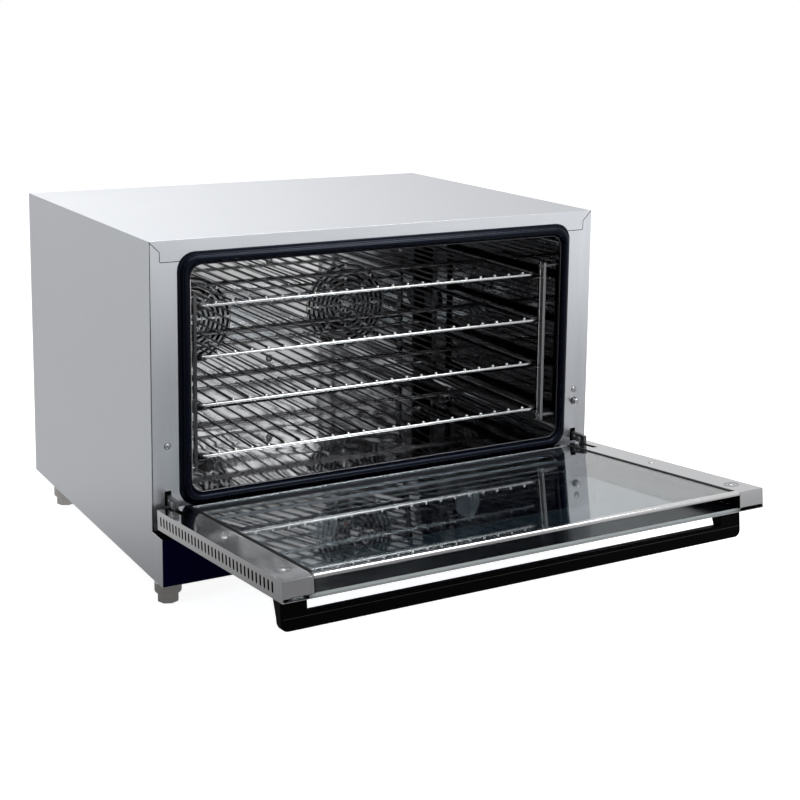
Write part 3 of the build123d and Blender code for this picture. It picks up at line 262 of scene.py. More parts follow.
def moulded(name, colour, rough, grain=900.0, depth=0.12, contrast=0.1, **values):
    """Moulded plastic or rubber with a fine even grain."""
    made, tree, shader = surface(name, **values)
    tone = placed(tree, GRAIN, Size=grain)
    dark = [c * (1 - contrast) for c in colour]
    light = [c * (1 + contrast) for c in colour]
    tinted(tree, shader, tone["Tone"], dark, light)
    tree.links.new(ranged(tree, tone["Tone"], rough - 0.05, rough + 0.05), shader.inputs["Roughness"])
    bumped(tree, shader, tone["Height"], depth, 0.0003)
    return made


def pane(name, colour, ior, rough=0.0):
    """Sheet glass with faint wiped patches on it."""
    made, tree, shader = surface(name, Transmission_Weight=1.0, IOR=ior, Metallic=0.0)
    shader.inputs["Base Color"].default_value = (*colour, 1)
    smudge = placed(tree, SMUDGES, Size=7.0, Sharpness=0.15)["Mask"]
    tree.links.new(ranged(tree, smudge, rough, rough + 0.02), shader.inputs["Roughness"])
    return made


def even(size):
    return (size, size, size)


LONG = 26.0
FINE = 1400.0
ACROSS = (LONG, FINE, FINE)
INTO_DEPTH = (FINE, LONG, FINE)
UPRIGHT = (FINE, FINE, LONG)
STEEL = (0.605, 0.625, 0.66)
panel_across = metal("panel_steel_brushed_across", STEEL, 0.3, ACROSS, depth=0.3, contrast=0.09)
panel_upright = metal("panel_steel_brushed_upright", STEEL, 0.3, UPRIGHT, depth=0.3, contrast=0.09)
door_steel = metal("door_steel", (0.63, 0.635, 0.65), 0.07, INTO_DEPTH, depth=0.04, spread=0.02,
                   contrast=0.05)
chamber_steel = metal("chamber_steel", (0.57, 0.575, 0.59), 0.03, even(60.0), depth=1.0, spread=0.01,
                      waves=0.1, floor_waves=5.5)
baffle_steel = metal("baffle_steel", (0.86, 0.865, 0.875), 0.025, even(60.0), depth=0.0, spread=0.004)
# Satin steel only on the right rack's front upright, lighter than the left rack: painted highlight.
lit_rack_satin = metal("lit_rack_satin", (0.34, 0.34, 0.35), 0.42, UPRIGHT, contrast=0.08)
zinc_steel = metal("zinc_steel", (0.5, 0.51, 0.52), 0.42, even(200.0), contrast=0.12)
screw_steel = metal("screw_steel", (0.5, 0.5, 0.51), 0.24, even(400.0), contrast=0.1)
# Dark steel of the hinges; on the screw rims, washers, plunger collar and the door's pressed rings it is
# painted shade.
hinge_steel = metal("hinge_steel", (0.13, 0.13, 0.135), 0.32, INTO_DEPTH, contrast=0.15)
# A darker copy of the shelf bars' steel, for the shelf wires and rungs, both racks and the mouth's rolled
# edge: painted shade.
shelf_wire = metal("shelf_wire", (0.11, 0.11, 0.114), 0.14, even(300.0))
shelf_bar = metal("shelf_bar", (0.55, 0.56, 0.57), 0.14, even(300.0))
fan_alloy = metal("fan_alloy", (0.09, 0.09, 0.09), 0.5, even(150.0), contrast=0.1)
element_sheath = metal("element_sheath", (0.09, 0.085, 0.085), 0.5, even(200.0), contrast=0.3)
trim_steel = metal("trim_steel", (0.75, 0.75, 0.76), 0.12, ACROSS, depth=0.05, contrast=0.03)
foot_steel = metal("foot_steel", (0.43, 0.42, 0.41), 0.18, even(60.0), depth=0.03, contrast=0.08)
# Near-white steel for the shelves' weld tips and the right rack's rolled edge: painted highlight.
painted_highlight_steel = metal("painted_highlight_steel", (0.97, 0.97, 0.97), 0.24, even(300.0), contrast=0.02)
gasket_rubber = moulded("gasket_rubber", (0.0008, 0.0012, 0.005), 0.26, grain=700.0,
                        Specular_IOR_Level=0.13, Specular_Tint=(0.65, 0.77, 1.0, 1.0))
seal_rubber = moulded("seal_rubber", (0.003, 0.003, 0.004), 0.5, Specular_IOR_Level=0.15)
motor_paint = moulded("motor_paint", (0.1, 0.1, 0.11), 0.45, grain=400.0)
lamp_ceramic = moulded("lamp_ceramic", (0.8, 0.79, 0.75), 0.3, grain=300.0, contrast=0.05)
fascia_paint = moulded("fascia_paint", (0.0004, 0.0004, 0.02), 0.35, grain=1200.0, depth=0.03,
                       Specular_IOR_Level=0.03)
black_enamel = moulded("black_enamel", (0.004, 0.004, 0.006), 0.16, grain=1200.0, depth=0.02,
                       Specular_IOR_Level=0.3)
# Flat black for dark joints, and for painted shade in slots, gaps, a fold and the control box's top.
shade_and_joint_black = moulded("shade_and_joint_black", (0.002, 0.002, 0.002), 0.7, Specular_IOR_Level=0.0)
ground_glass = moulded("ground_glass", (0.42, 0.46, 0.46), 0.4, grain=1500.0, contrast=0.08)
knob_plastic = moulded("knob_plastic", (0.72, 0.73, 0.74), 0.4, grain=1100.0, contrast=0.05)
control_plastic = moulded("control_plastic", (0.06, 0.06, 0.065), 0.5)
signal_red = moulded("signal_red", (0.6, 0.02, 0.02), 0.15, contrast=0.2, Transmission_Weight=0.3)
terminal_plastic = moulded("terminal_plastic", (0.7, 0.67, 0.57), 0.5, contrast=0.06)
handle_plastic = moulded("handle_plastic", (0.0008, 0.0008, 0.001), 0.42, grain=1500.0,
                         Specular_IOR_Level=0.04)
ridge_plastic = moulded("ridge_plastic", (0.01, 0.01, 0.012), 0.3, grain=1500.0, Specular_IOR_Level=0.5)
inner_pane = pane("inner_pane", (0.86, 0.91, 0.93), 1.62)
outer_pane = pane("outer_pane", (0.58, 0.66, 0.72), 1.6)
lamp_lens = pane("lamp_lens", (0.92, 0.93, 0.9), 1.5, 0.06)


def insulation_wool():
    made, tree, shader = surface("mineral_wool", Roughness=1.0, Sheen_Weight=0.4)
    fibres = placed(tree, FIBRES, Size=150.0)
    tinted(tree, shader, fibres["Tone"], (0.5, 0.43, 0.26), (0.8, 0.75, 0.6))
    bumped(tree, shader, fibres["Height"], 0.8, 0.002)
    return made


mineral_wool = insulation_wool()
print_white = moulded("dial_print", (0.75, 0.76, 0.78), 0.4, contrast=0.03)

FEET = ("front_left_foot", "front_right_foot", "rear_left_foot", "rear_right_foot")
SHELVES = ("shelf_1", "shelf_2", "shelf_3", "shelf_4")
FINISHES = (
    (panel_across, ("top_cover", "front_sill")),
    (panel_upright, ("left_side_panel", "right_side_panel", "control_box")),
    (door_steel, ("door_frame", "corner_blocks")),
    (zinc_steel, ("base_pan", "rear_panel", "motor_plate", "hinge_brackets")),
    (chamber_steel, ("chamber_front", "chamber_liner", "exhaust_pipe")),
    (baffle_steel, ("fan_baffle",)),
    (hinge_steel, ("chamber_rear", "hinge_arms", "hinge_channels", "hinge_pins")),
    (shelf_wire, ("left_rack", "right_rack", *SHELVES)),
    (screw_steel, ("cabinet_screws", "baffle_screws", "rack_screws", "door_screws")),
    (screw_steel, ("door_switch_plunger", "temperature_probe")),
    (foot_steel, ("foot_cups", *FEET)),
    (trim_steel, ("glass_trim",)),
    (fan_alloy, ("left_fan", "right_fan")),
    (element_sheath, ("left_heating_element", "right_heating_element")),
    (motor_paint, ("left_motor", "right_motor")),
    (mineral_wool, ("insulation",)),
    (gasket_rubber, ("door_gasket",)),
    (seal_rubber, ("side_seals",)),
    (lamp_lens, ("lamp_glass",)),
    (lamp_ceramic, ("lamp_holder",)),
    (fascia_paint, ("control_fascia",)),
    (knob_plastic, ("timer_knob", "thermostat_knob")),
    (control_plastic, ("timer_body", "thermostat_body", "door_switch", "cable_gland")),
    (signal_red, ("indicator_lamp",)),
    (terminal_plastic, ("terminal_block",)),
    (inner_pane, ("inner_glass",)),
    (outer_pane, ("outer_glass",)),
    (handle_plastic, ("handle",)),
)
FINISH = {name: material for material, names in FINISHES for name in names}
SLOT = {part["node"]: part["material_slot"] for part in frame["record"]["subparts"]}
BODIES = frame["record"]["behaviour"]["bodies"]
BODY = {member: body for body, members in BODIES.items() for member in members}

for name, material in FINISH.items():
    data = nodes[name].data
    if not data.materials:
        data.materials.append(material)
    for place in nodes[name].material_slots:
        place.material = material


# Making pieces

def piece(name, mesh, material, host, *replaced):
    """A finished piece: its mesh is in place, and it goes with the body of a host node.

    Without a material, the mesh keeps its own.
    """
    body, slot = BODY[host], SLOT[host]
    if material:
        mesh.materials.clear()
        mesh.materials.append(material)
    made = bpy.data.objects.new(name, mesh)
    stage_collection.objects.link(made)
    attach(made, body)
    if replaced:
        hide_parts(*replaced)


def holding(name, data):
    made = bpy.data.objects.new(name, data)
    stage_collection.objects.link(made)
    return made


def evaluated(source):
    """Plain mesh of an object with its modifiers applied; the object is removed."""
    graph = bpy.context.evaluated_depsgraph_get()
    mesh = bpy.data.meshes.new_from_object(source.evaluated_get(graph), depsgraph=graph)
    bpy.data.objects.remove(source)
    return mesh


def written(work, name):
    """Mesh from a finished bmesh."""
    mesh = bpy.data.meshes.new(name)
    work.to_mesh(mesh)
    work.free()
    return mesh


def smoothed(mesh, angle=35):
    mesh.polygons.foreach_set("use_smooth", [True] * len(mesh.polygons))
    mesh.set_sharp_from_angle(angle=math.radians(angle))
    return mesh


def merged_copy(name):
    """Mesh of a CAD node with its loose triangles joined and its flat faces whole again."""
    work = bmesh.new()
    work.from_mesh(nodes[name].data)
    bmesh.ops.remove_doubles(work, verts=work.verts, dist=1e-6)
    bmesh.ops.dissolve_limit(work, angle_limit=math.radians(1), verts=work.verts, edges=work.edges)
    return written(work, name)


def softened(name, width, segments):
    """Stands for a CAD node with the same shape, its sharp edges eased."""
    holder = holding(name + "_eased", merged_copy(name))
    bevel = holder.modifiers.new("ease", "BEVEL")
    bevel.width = width
    bevel.segments = segments
    bevel.limit_method = "ANGLE"
    bevel.angle_limit = math.radians(40)
    bevel.use_clamp_overlap = True
    holder.data.polygons.foreach_set("use_smooth", [True] * len(holder.data.polygons))
    level = holder.modifiers.new("level", "WEIGHTED_NORMAL")
    level.weight = 80
    piece(name + "_eased", evaluated(holder), FINISH[name], name, name)


def loft(rings, close_path=True):
    """Mesh through closed rings of points, each with the same count; an open path gets end faces."""
    work = bmesh.new()
    rows = [[work.verts.new(point) for point in ring] for ring in rings]
    count = len(rows[0])
    for i in range(len(rows) if close_path else len(rows) - 1):
        here, there = rows[i], rows[(i + 1) % len(rows)]
        for j in range(count):
            k = (j + 1) % count
            work.faces.new((here[j], here[k], there[k], there[j]))
    if not close_path:
        work.faces.new(rows[0])
        work.faces.new(rows[-1])
    bmesh.ops.recalc_face_normals(work, faces=work.faces)
    return written(work, "loft")


def turned(profile, places=(Matrix(),), steps=32, ring=False):
    """Mesh of turned parts: the profile gives radius and height in millimetres about each place's Z axis.

    A ring's profile closes on itself; any other starts and ends on the axis or stays open.
    """
    work = bmesh.new()
    for place in places:
        rings = []
        for radius, height in profile:
            points = []
            for step in range(steps if radius else 1):
                angle = 2 * math.pi * step / steps
                points.append(Vector((radius * math.cos(angle), radius * math.sin(angle), height)) / 1000)
            rings.append([work.verts.new(place @ point) for point in points])
        for here, there in zip(rings, rings[1:] + rings[:1] if ring else rings[1:]):
            for step in range(steps):
                after = step + 1
                corners = (here[step % len(here)], here[after % len(here)], there[after % len(there)],
                           there[step % len(there)])
                work.faces.new(list(dict.fromkeys(corners)))
    bmesh.ops.recalc_face_normals(work, faces=work.faces)
    return smoothed(written(work, "turned"))


def plates(spans, place=Matrix()):
    """Mesh of thin plates, each given by two opposite corners."""
    work = bmesh.new()
    for first, second in spans:
        corners = [
            work.verts.new(place @ Vector((x, y, z)))
            for x in sorted((first[0], second[0]))
            for y in sorted((first[1], second[1]))
            for z in sorted((first[2], second[2]))
        ]
        for face in ((0, 1, 3, 2), (4, 6, 7, 5), (0, 4, 5, 1), (2, 3, 7, 6), (0, 2, 6, 4), (1, 5, 7, 3)):
            work.faces.new([corners[index] for index in face])
    bmesh.ops.recalc_face_normals(work, faces=work.faces)
    return written(work, "plates")


def standing(origin, axis):
    """Place whose Z axis points along an axis."""
    matrix = Vector(axis).to_track_quat("Z", "Y").to_matrix().to_4x4()
    matrix.translation = origin
    return matrix


def joined_meshes(meshes):
    work = bmesh.new()
    for mesh in meshes:
        work.from_mesh(mesh)
    return written(work, "joined")


# Geometry trees

def growing_tree(name, inputs):
    """Geometry node tree with named inputs as {name: kind} and one geometry output."""
    tree = bpy.data.node_groups.new(name, "GeometryNodeTree")
    tree.is_modifier = True
    tree.interface.new_socket("Geometry", in_out="INPUT", socket_type="NodeSocketGeometry")
    for title, kind in inputs.items():
        tree.interface.new_socket(title, in_out="INPUT", socket_type="NodeSocket" + kind)
    tree.interface.new_socket("Geometry", in_out="OUTPUT", socket_type="NodeSocketGeometry")
    return tree, tree.nodes.new("NodeGroupInput").outputs


def combined(tree, x=0.0, y=0.0, z=0.0):
    return node(tree, "ShaderNodeCombineXYZ", {"X": x, "Y": y, "Z": z}).outputs[0]


def joined(tree, parts):
    made = tree.nodes.new("GeometryNodeJoinGeometry")
    for part in parts:
        tree.links.new(part, made.inputs[0])
    return made.outputs[0]


def moved(tree, part, **inputs):
    return node(tree, "GeometryNodeTransform", {"Geometry": part, **inputs}).outputs[0]


def coated(tree, part, material):
    return node(tree, "GeometryNodeSetMaterial", {"Geometry": part, "Material": material}).outputs[0]


def round_bar(tree, start, end, radius, steps, caps=False):
    """Straight round bar from start to end."""
    line = node(tree, "GeometryNodeCurvePrimitiveLine", {"Start": start, "End": end}).outputs[0]
    return swept(tree, line, radius, steps, caps)


def swept(tree, curve, radius, steps, caps=False):
    around = node(tree, "GeometryNodeCurvePrimitiveCircle", {"Resolution": steps, "Radius": radius})
    return node(tree, "GeometryNodeCurveToMesh", {
        "Curve": curve, "Profile Curve": around.outputs[0], "Fill Caps": caps,
    }).outputs[0]


def row_of(tree, part, count, start, offset):
    """One part repeated along a straight row."""
    points = node(tree, "GeometryNodeMeshLine", {"Count": count, "Start Location": start, "Offset": offset})
    return node(tree, "GeometryNodeInstanceOnPoints", {
        "Points": points.outputs[0], "Instance": part,
    }).outputs[0]


def copied_tree(tree, given, shape):
    """Finishes a tree that sets one shape at every given point, its Z axis along the point's facing."""
    facing = node(tree, "GeometryNodeInputNamedAttribute", {"Name": "facing"}, data_type="FLOAT_VECTOR")
    turn = node(tree, "FunctionNodeAlignRotationToVector", {"Vector": facing.outputs[0]}, axis="Z")
    many = node(tree, "GeometryNodeInstanceOnPoints", {
        "Points": given["Geometry"], "Instance": shape, "Rotation": turn.outputs[0],
    })
    real = node(tree, "GeometryNodeRealizeInstances", {"Geometry": many.outputs[0]})
    tree.links.new(real.outputs[0], tree.nodes.new("NodeGroupOutput").inputs[0])
    return tree


def grown(tree, values, base=None):
    """Runs a tree on a base mesh and returns the result as a plain mesh."""
    holder = holding("growing", base or bpy.data.meshes.new("growing"))
    modifier = holder.modifiers.new("grow", "NODES")
    modifier.node_group = tree
    for item in tree.interface.items_tree:
        if item.in_out == "INPUT" and item.name in values:
            modifier[item.identifier] = values[item.name]
    return evaluated(holder)


def facing_points(places):
    """Mesh of loose points at (place, facing) pairs."""
    base = bpy.data.meshes.new("places")
    base.from_pydata([place for place, facing in places], [], [])
    facings = base.attributes.new("facing", "FLOAT_VECTOR", "POINT")
    for index, (place, facing) in enumerate(places):
        facings.data[index].vector = facing
    return base


def pattern_tree():
    tree, given = growing_tree("placed_copies", {"Pattern": "Object"})
    shape = node(tree, "GeometryNodeObjectInfo", {"Object": given["Pattern"]})
    return copied_tree(tree, given, shape.outputs["Geometry"])


PATTERN_TREE = pattern_tree()


def spread(pattern, places):
    """Mesh of one pattern repeated at (place, facing) pairs."""
    holder = holding("pattern", pattern)
    mesh = grown(PATTERN_TREE, {"Pattern": holder}, facing_points(places))
    bpy.data.objects.remove(holder)
    return mesh


# Panels and other sheet parts whose folded edges catch the light

EASED = {
    "top_cover": 0.0003, "left_side_panel": 0.0005, "right_side_panel": 0.0005, "front_sill": 0.0004,
    "control_box": 0.0004, "control_fascia": 0.0003, "door_frame": 0.0004, "corner_blocks": 0.0005,
    "rear_panel": 0.0003, "base_pan": 0.0003, "inner_glass": 0.0005, "outer_glass": 0.0005,
    "handle": 0.0022, "hinge_arms": 0.0006, "foot_cups": 0.0006, **{foot: 0.0008 for foot in FEET},
    "left_rack": 0.0002, "right_rack": 0.0002, "timer_knob": 0.0004, "thermostat_knob": 0.0004,
    "cable_gland": 0.0008, "fan_baffle": 0.0004, "exhaust_pipe": 0.0004,
}
for name, width in EASED.items():
    softened(name, width, 4 if name == "handle" else 2)


# Shelves: bars, cross wires with rounded ends and rungs, welded together. The wires and rungs take a darker
# copy of the bars' steel, painted shade, and the weld tips a near-white steel, painted highlight

def wire_shelf_tree():
    tree, given = growing_tree("welded_wire_shelf", {
        "Half Width": "Float", "Length": "Float", "Bar Radius": "Float", "Wire Radius": "Float",
        "Wires": "Int", "Corner": "Float", "Rung Radius": "Float", "Rung Place": "Float",
        "Rung Pair": "Float", "Wire Lift": "Float", "Wire Over": "Float", "Corner Place": "Vector",
        "Bar Material": "Material", "Wire Material": "Material",
    })
    width = maths(tree, "MULTIPLY", given["Half Width"], 2.0)
    outline = node(tree, "GeometryNodeCurvePrimitiveQuadrilateral", {
        "Width": width, "Height": given["Length"],
    })
    corners = node(tree, "GeometryNodeFilletCurve", {
        "Curve": outline.outputs[0], "Count": 8, "Radius": given["Corner"],
    }, mode="POLY")
    bar = swept(tree, corners.outputs[0], given["Bar Radius"], 16)
    half_length = maths(tree, "MULTIPLY", given["Length"], 0.5)
    reach = maths(tree, "ADD", half_length, given["Wire Over"])
    back_reach = maths(tree, "MULTIPLY", reach, -1.0)
    ends = [combined(tree, y=end) for end in (back_reach, reach)]
    wire = round_bar(tree, *ends, given["Wire Radius"], 10)
    tip = node(tree, "GeometryNodeMeshUVSphere", {"Segments": 10, "Rings": 8, "Radius": given["Wire Radius"]})
    tips = [moved(tree, tip.outputs[0], Translation=end) for end in ends]
    gaps = maths(tree, "ADD", given["Wires"], 1.0)
    pitch = maths(tree, "DIVIDE", width, gaps)
    first = combined(tree, x=maths(tree, "SUBTRACT", pitch, given["Half Width"]), z=given["Wire Lift"])
    wires = row_of(tree, joined(tree, [wire, *tips]), given["Wires"], first, combined(tree, x=pitch))
    left_end = combined(tree, x=maths(tree, "MULTIPLY", given["Half Width"], -1.0))
    right_end = combined(tree, x=given["Half Width"])
    rung = round_bar(tree, left_end, right_end, given["Rung Radius"], 12)
    rung_place = combined(tree, y=given["Rung Place"])
    rungs = row_of(tree, rung, 2, rung_place, combined(tree, y=given["Rung Pair"]))
    finished = []
    for parts, material in (((bar,), given["Bar Material"]), ((wires, rungs), given["Wire Material"])):
        in_place = moved(tree, joined(tree, parts), Translation=given["Corner Place"])
        real = node(tree, "GeometryNodeRealizeInstances", {"Geometry": in_place})
        smooth = node(tree, "GeometryNodeSetShadeSmooth", {"Geometry": real.outputs[0]})
        finished.append(coated(tree, smooth.outputs[0], material))
    out = tree.nodes.new("NodeGroupOutput")
    tree.links.new(joined(tree, finished), out.inputs[0])
    return tree


SHELF_TREE = wire_shelf_tree()
SHELF_WIRES = 21
SHELF_BAR = 0.003
RUNG_FROM_FRONT = 0.1585
WELD_TIP = ((0, 2.5), (1.2, 2.2), (2.1, 1.4), (2.5, 0), (2.0, -1.4), (0, -2.0))
for name in SHELVES:
    low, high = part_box(name)
    half = high.x - SHELF_BAR
    length = high.y - low.y - 2 * SHELF_BAR
    mesh = grown(SHELF_TREE, {
        "Half Width": half, "Length": length, "Bar Radius": SHELF_BAR, "Wire Radius": 0.0018,
        "Wires": SHELF_WIRES, "Corner": 0.014, "Rung Radius": 0.0025,
        "Rung Place": RUNG_FROM_FRONT - length / 2, "Rung Pair": 0.013,
        "Wire Lift": 0.0038, "Wire Over": 0.001,
        "Corner Place": (0, (low.y + high.y) / 2, low.z + SHELF_BAR),
        "Bar Material": shelf_bar, "Wire Material": shelf_wire,
    })
    piece(name + "_wires", mesh, None, name, name)
    pitch = 2 * half / (SHELF_WIRES + 1)
    tips = [((pitch * (wire + 1) - half, low.y + 0.0022, low.z + 0.0072), UP) for wire in range(SHELF_WIRES)]
    tip_shape = turned(WELD_TIP, steps=10)
    # The weld tips take near-white steel: painted highlight on the wire ends.
    piece(name + "_weld_tips", spread(tip_shape, tips), painted_highlight_steel, name)


# Door gasket: a lip along the mouth, a groove and a rounded bulb; beside it the mouth's rolled edge in
# darkened steel, painted shade, and a bright rod on the left side only, painted highlight

def rounded_loop(half_x, low, high, radius):
    """Points of a rounded rectangle in X and Z, counter-clockwise from the right-hand side."""
    steps = 10
    points = []
    for turn, (x, z) in enumerate((
        (half_x - radius, high - radius), (radius - half_x, high - radius),
        (radius - half_x, low + radius), (half_x - radius, low + radius),
    )):
        for step in range(steps + 1):
            angle = math.pi / 2 * (turn + step / steps)
            points.append((x + radius * math.cos(angle), z + radius * math.sin(angle)))
    return points


def gasket_section():
    """Offset outwards from the mouth's edge and depth, in millimetres, round the rubber's section."""
    lip = [(0.6, 1), (0.6, -2.6), (0.9, -3.2), (1.4, -3.4), (2.0, -3.1), (2.6, -2.6)]
    bulb = []
    for step in range(1, 16):
        angle = math.pi * (1 - step / 16)
        bulb.append((9.0 + 6.0 * math.cos(angle), -4.0 - 6.8 * math.sin(angle)))
    skirt = [(15.3, -2.6), (15.7, -1.6), (18.0, -1.2), (19.6, -0.8), (20.7, 0), (20.7, 1)]
    return lip + bulb + skirt


def round_the_mouth(section):
    """Mesh of a section carried round the mouth: offset outwards and depth, in millimetres."""
    rings = []
    for offset, depth in section:
        out = offset / 1000
        loop = rounded_loop(MOUTH_HALF + out, MOUTH_LOW - out, MOUTH_HIGH + out, MOUTH_CORNER + out * 0.47)
        rings.append([(x, FRONT + depth / 1000, z) for x, z in loop])
    return smoothed(loft(rings), 60)


piece("gasket_bulb", round_the_mouth(gasket_section()), gasket_rubber, "door_gasket", "door_gasket")
rolled_edge = []
for step in range(8):
    angle = math.pi * step / 4
    rolled_edge.append((0.35 + 0.62 * math.cos(angle), -2.7 - 0.62 * math.sin(angle)))
piece("mouth_rolled_edge", round_the_mouth(rolled_edge), shelf_wire, "chamber_liner")
# A bright steel rod along the mouth's left side only: painted highlight.
left_edge = [((-MOUTH_HALF - 0.0002, FRONT - 0.0028, MOUTH_LOW + 0.022), UP)]
edge_rod = turned([(0, 0), (0.75, 0), (0.75, 322), (0, 322)], steps=12)
piece("mouth_left_edge", spread(edge_rod, left_edge), trim_steel, "chamber_liner")


# Screws: pan heads with a cross recess

def cross_head_mesh():
    """Unit pan head: radius 1, height 1 along +Z, with a cross recess."""
    work = bmesh.new()
    around = 40
    recess_half = 0.11
    recess_reach = 0.5
    radii = [0.12, 0.2, 0.28, 0.38, 0.46, 0.54, 0.66, 0.8, 0.92, 0.99, 1.0, 1.0]
    heights = [1.0, 1.0, 0.99, 0.98, 0.97, 0.95, 0.9, 0.78, 0.55, 0.25, 0.08, 0.0]
    middle = work.verts.new((0, 0, 0.25))
    rows = []
    for radius, height in zip(radii, heights):
        ring = []
        for step in range(around):
            angle = 2 * math.pi * step / around
            x, y = radius * math.cos(angle), radius * math.sin(angle)
            inside = min(abs(x), abs(y)) < recess_half and radius < recess_reach
            ring.append(work.verts.new((x, y, 0.3 + radius * 0.4 if inside else height)))
        rows.append(ring)
    for step in range(around):
        after = (step + 1) % around
        work.faces.new((middle, rows[0][step], rows[0][after]))
        for here, there in zip(rows, rows[1:]):
            work.faces.new((here[step], there[step], there[after], here[after]))
    work.faces.new(list(reversed(rows[-1])))
    return smoothed(written(work, "cross_head"), 40)


def screw_tree():
    tree, given = growing_tree("cross_head_screws", {
        "Head": "Object", "Head Radius": "Float", "Head Height": "Float", "Shank Radius": "Float",
        "Shank Length": "Float",
    })
    shape = node(tree, "GeometryNodeObjectInfo", {"Object": given["Head"]})
    size = combined(tree, given["Head Radius"], given["Head Radius"], given["Head Height"])
    head = moved(tree, shape.outputs["Geometry"], Scale=size)
    back = combined(tree, z=maths(tree, "MULTIPLY", given["Shank Length"], -1.0))
    shank = round_bar(tree, back, combined(tree, z=0.0001), given["Shank Radius"], 14, caps=True)
    return copied_tree(tree, given, joined(tree, [head, shank]))


SCREW_TREE = screw_tree()
screw_pattern = holding("screw_pattern", cross_head_mesh())


def screws(places, radius=0.0045, height=0.0016, shank=0.002, length=0.006):
    """Mesh of screws at (place, facing) pairs."""
    return grown(SCREW_TREE, {
        "Head": screw_pattern, "Head Radius": radius, "Head Height": height, "Shank Radius": shank,
        "Shank Length": length,
    }, facing_points(places))


stile_places = [((side * STILE_X, FRONT, STILE_SCREW_Z), TO_FRONT) for side in SIDES]
cabinet_places = [((side * 0.409, REAR, z), (0, 1, 0)) for side in SIDES for z in (0.045, 0.542)]
cabinet_places += [((side * 0.139, REAR, 0.045), (0, 1, 0)) for side in SIDES]
cabinet_places += stile_places
piece("cabinet_cross_screws", screws(cabinet_places), screw_steel, "cabinet_screws", "cabinet_screws")
# Dark steel rims round the stile screws stand for their dimples; their darkness is painted shade.
rim = turned([(4.5, -0.1), (4.5, 0.3), (5.4, 0.3), (5.8, -0.1)], ring=True)
piece("stile_screw_rims", spread(rim, stile_places), hinge_steel, "left_side_panel")
plunger_low, plunger_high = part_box("door_switch_plunger")
plunger_place = (plunger_low + plunger_high) / 2
# A dark steel collar round the door switch plunger: painted shade.
collar = turned([(5.3, -0.1), (5.3, 0.6), (6.6, 0.6), (7.3, -0.1)], ring=True)
collar_place = [((plunger_place.x, FRONT, plunger_place.z), TO_FRONT)]
piece("plunger_collar", spread(collar, collar_place), hinge_steel, "right_side_panel")

baffle_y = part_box("fan_baffle")[0].y
pillar_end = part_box("baffle_screws")[1].y
baffle_places = [((x, baffle_y, z), TO_FRONT) for x in (-0.292, 0, 0.292) for z in (0.245, 0.438)]
baffle_heads = screws(baffle_places, 0.005, 0.0016, 0.002, 0.001)
pillar_places = [((x, baffle_y + 0.0011, z), facing) for (x, y, z), facing in baffle_places]
baffle_pillars = screws(pillar_places, 0.0001, 0.0001, 0.0045, pillar_end - baffle_y - 0.001)
# Dark steel washers round the baffle screws: painted shade.
washer = turned([(4.6, 0), (4.6, 0.5), (6.6, 0.7), (7.4, 0)], steps=24, ring=True)
piece("baffle_washers", spread(washer, baffle_places), hinge_steel, "fan_baffle")
baffle_screws = joined_meshes([baffle_heads, baffle_pillars])
piece("baffle_cross_screws", baffle_screws, screw_steel, "baffle_screws", "baffle_screws")

rack_low, rack_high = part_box("right_rack")
rack_inner = rack_high.x - 0.005
rack_places = [
    ((side * rack_inner, y, z), (-side, 0, 0))
    for side in SIDES
    for y in (rack_low.y + 0.008, rack_high.y - 0.008)
    for z in (rack_low.z + 0.007, rack_high.z - 0.007)
]
rack_screws = screws(rack_places, 0.005, 0.0016, 0.003, MOUTH_HALF - rack_inner)
piece("rack_cross_screws", rack_screws, screw_steel, "rack_screws", "rack_screws")

door_heads = screws([
    (DOOR @ Vector((side * STILE_X, u, 0)), DOOR_INWARDS) for side in SIDES for u in (0.213, DOOR_SCREW_U)
])
handle_heads = screws([
    (DOOR @ Vector((side * 0.380, u, 0.030)), DOOR_INWARDS) for side in SIDES for u in (0.399, 0.413)
], length=0.001)
door_screws = joined_meshes([door_heads, handle_heads])
piece("door_cross_screws", door_screws, screw_steel, "door_screws", "door_screws")
bpy.data.objects.remove(screw_pattern)


# Front seams: dark joints where the top cover's flange laps the stiles, and a black strip on the fold of the
# left side panel, painted shade

def ribbon(points, width):
    """Mesh of a thin strip on the front that follows points given in X and Z."""
    near, far = FRONT - 0.00006, FRONT + 0.0003
    rings = []
    for index, point in enumerate(points):
        before = Vector(points[max(index - 1, 0)])
        after = Vector(points[min(index + 1, len(points) - 1)])
        along = (after - before).normalized()
        aside = Vector((-along.y, along.x)) * width / 2
        (x1, z1), (x2, z2) = Vector(point) + aside, Vector(point) - aside
        rings.append([(x1, near, z1), (x2, near, z2), (x2, far, z2), (x1, far, z1)])
    return loft(rings, close_path=False)


LAP = ((0.4165, 0.5712), (0.3992, 0.5542), (0.3990, 0.5392), (0.3975, 0.5380), (0.3660, 0.5380))
seams = [ribbon([(side * x, z) for x, z in LAP], 0.0011) for side in SIDES]
# The black strip on the left side panel's fold is painted shade.
seams.append(ribbon([(-0.4152, 0.034), (-0.4152, 0.5700)], 0.0012))
piece("front_seams", joined_meshes(seams), shade_and_joint_black, "left_side_panel")

# Hinges: black plates in the stiles' slots, painted shade, and a roller and rivets on each arm

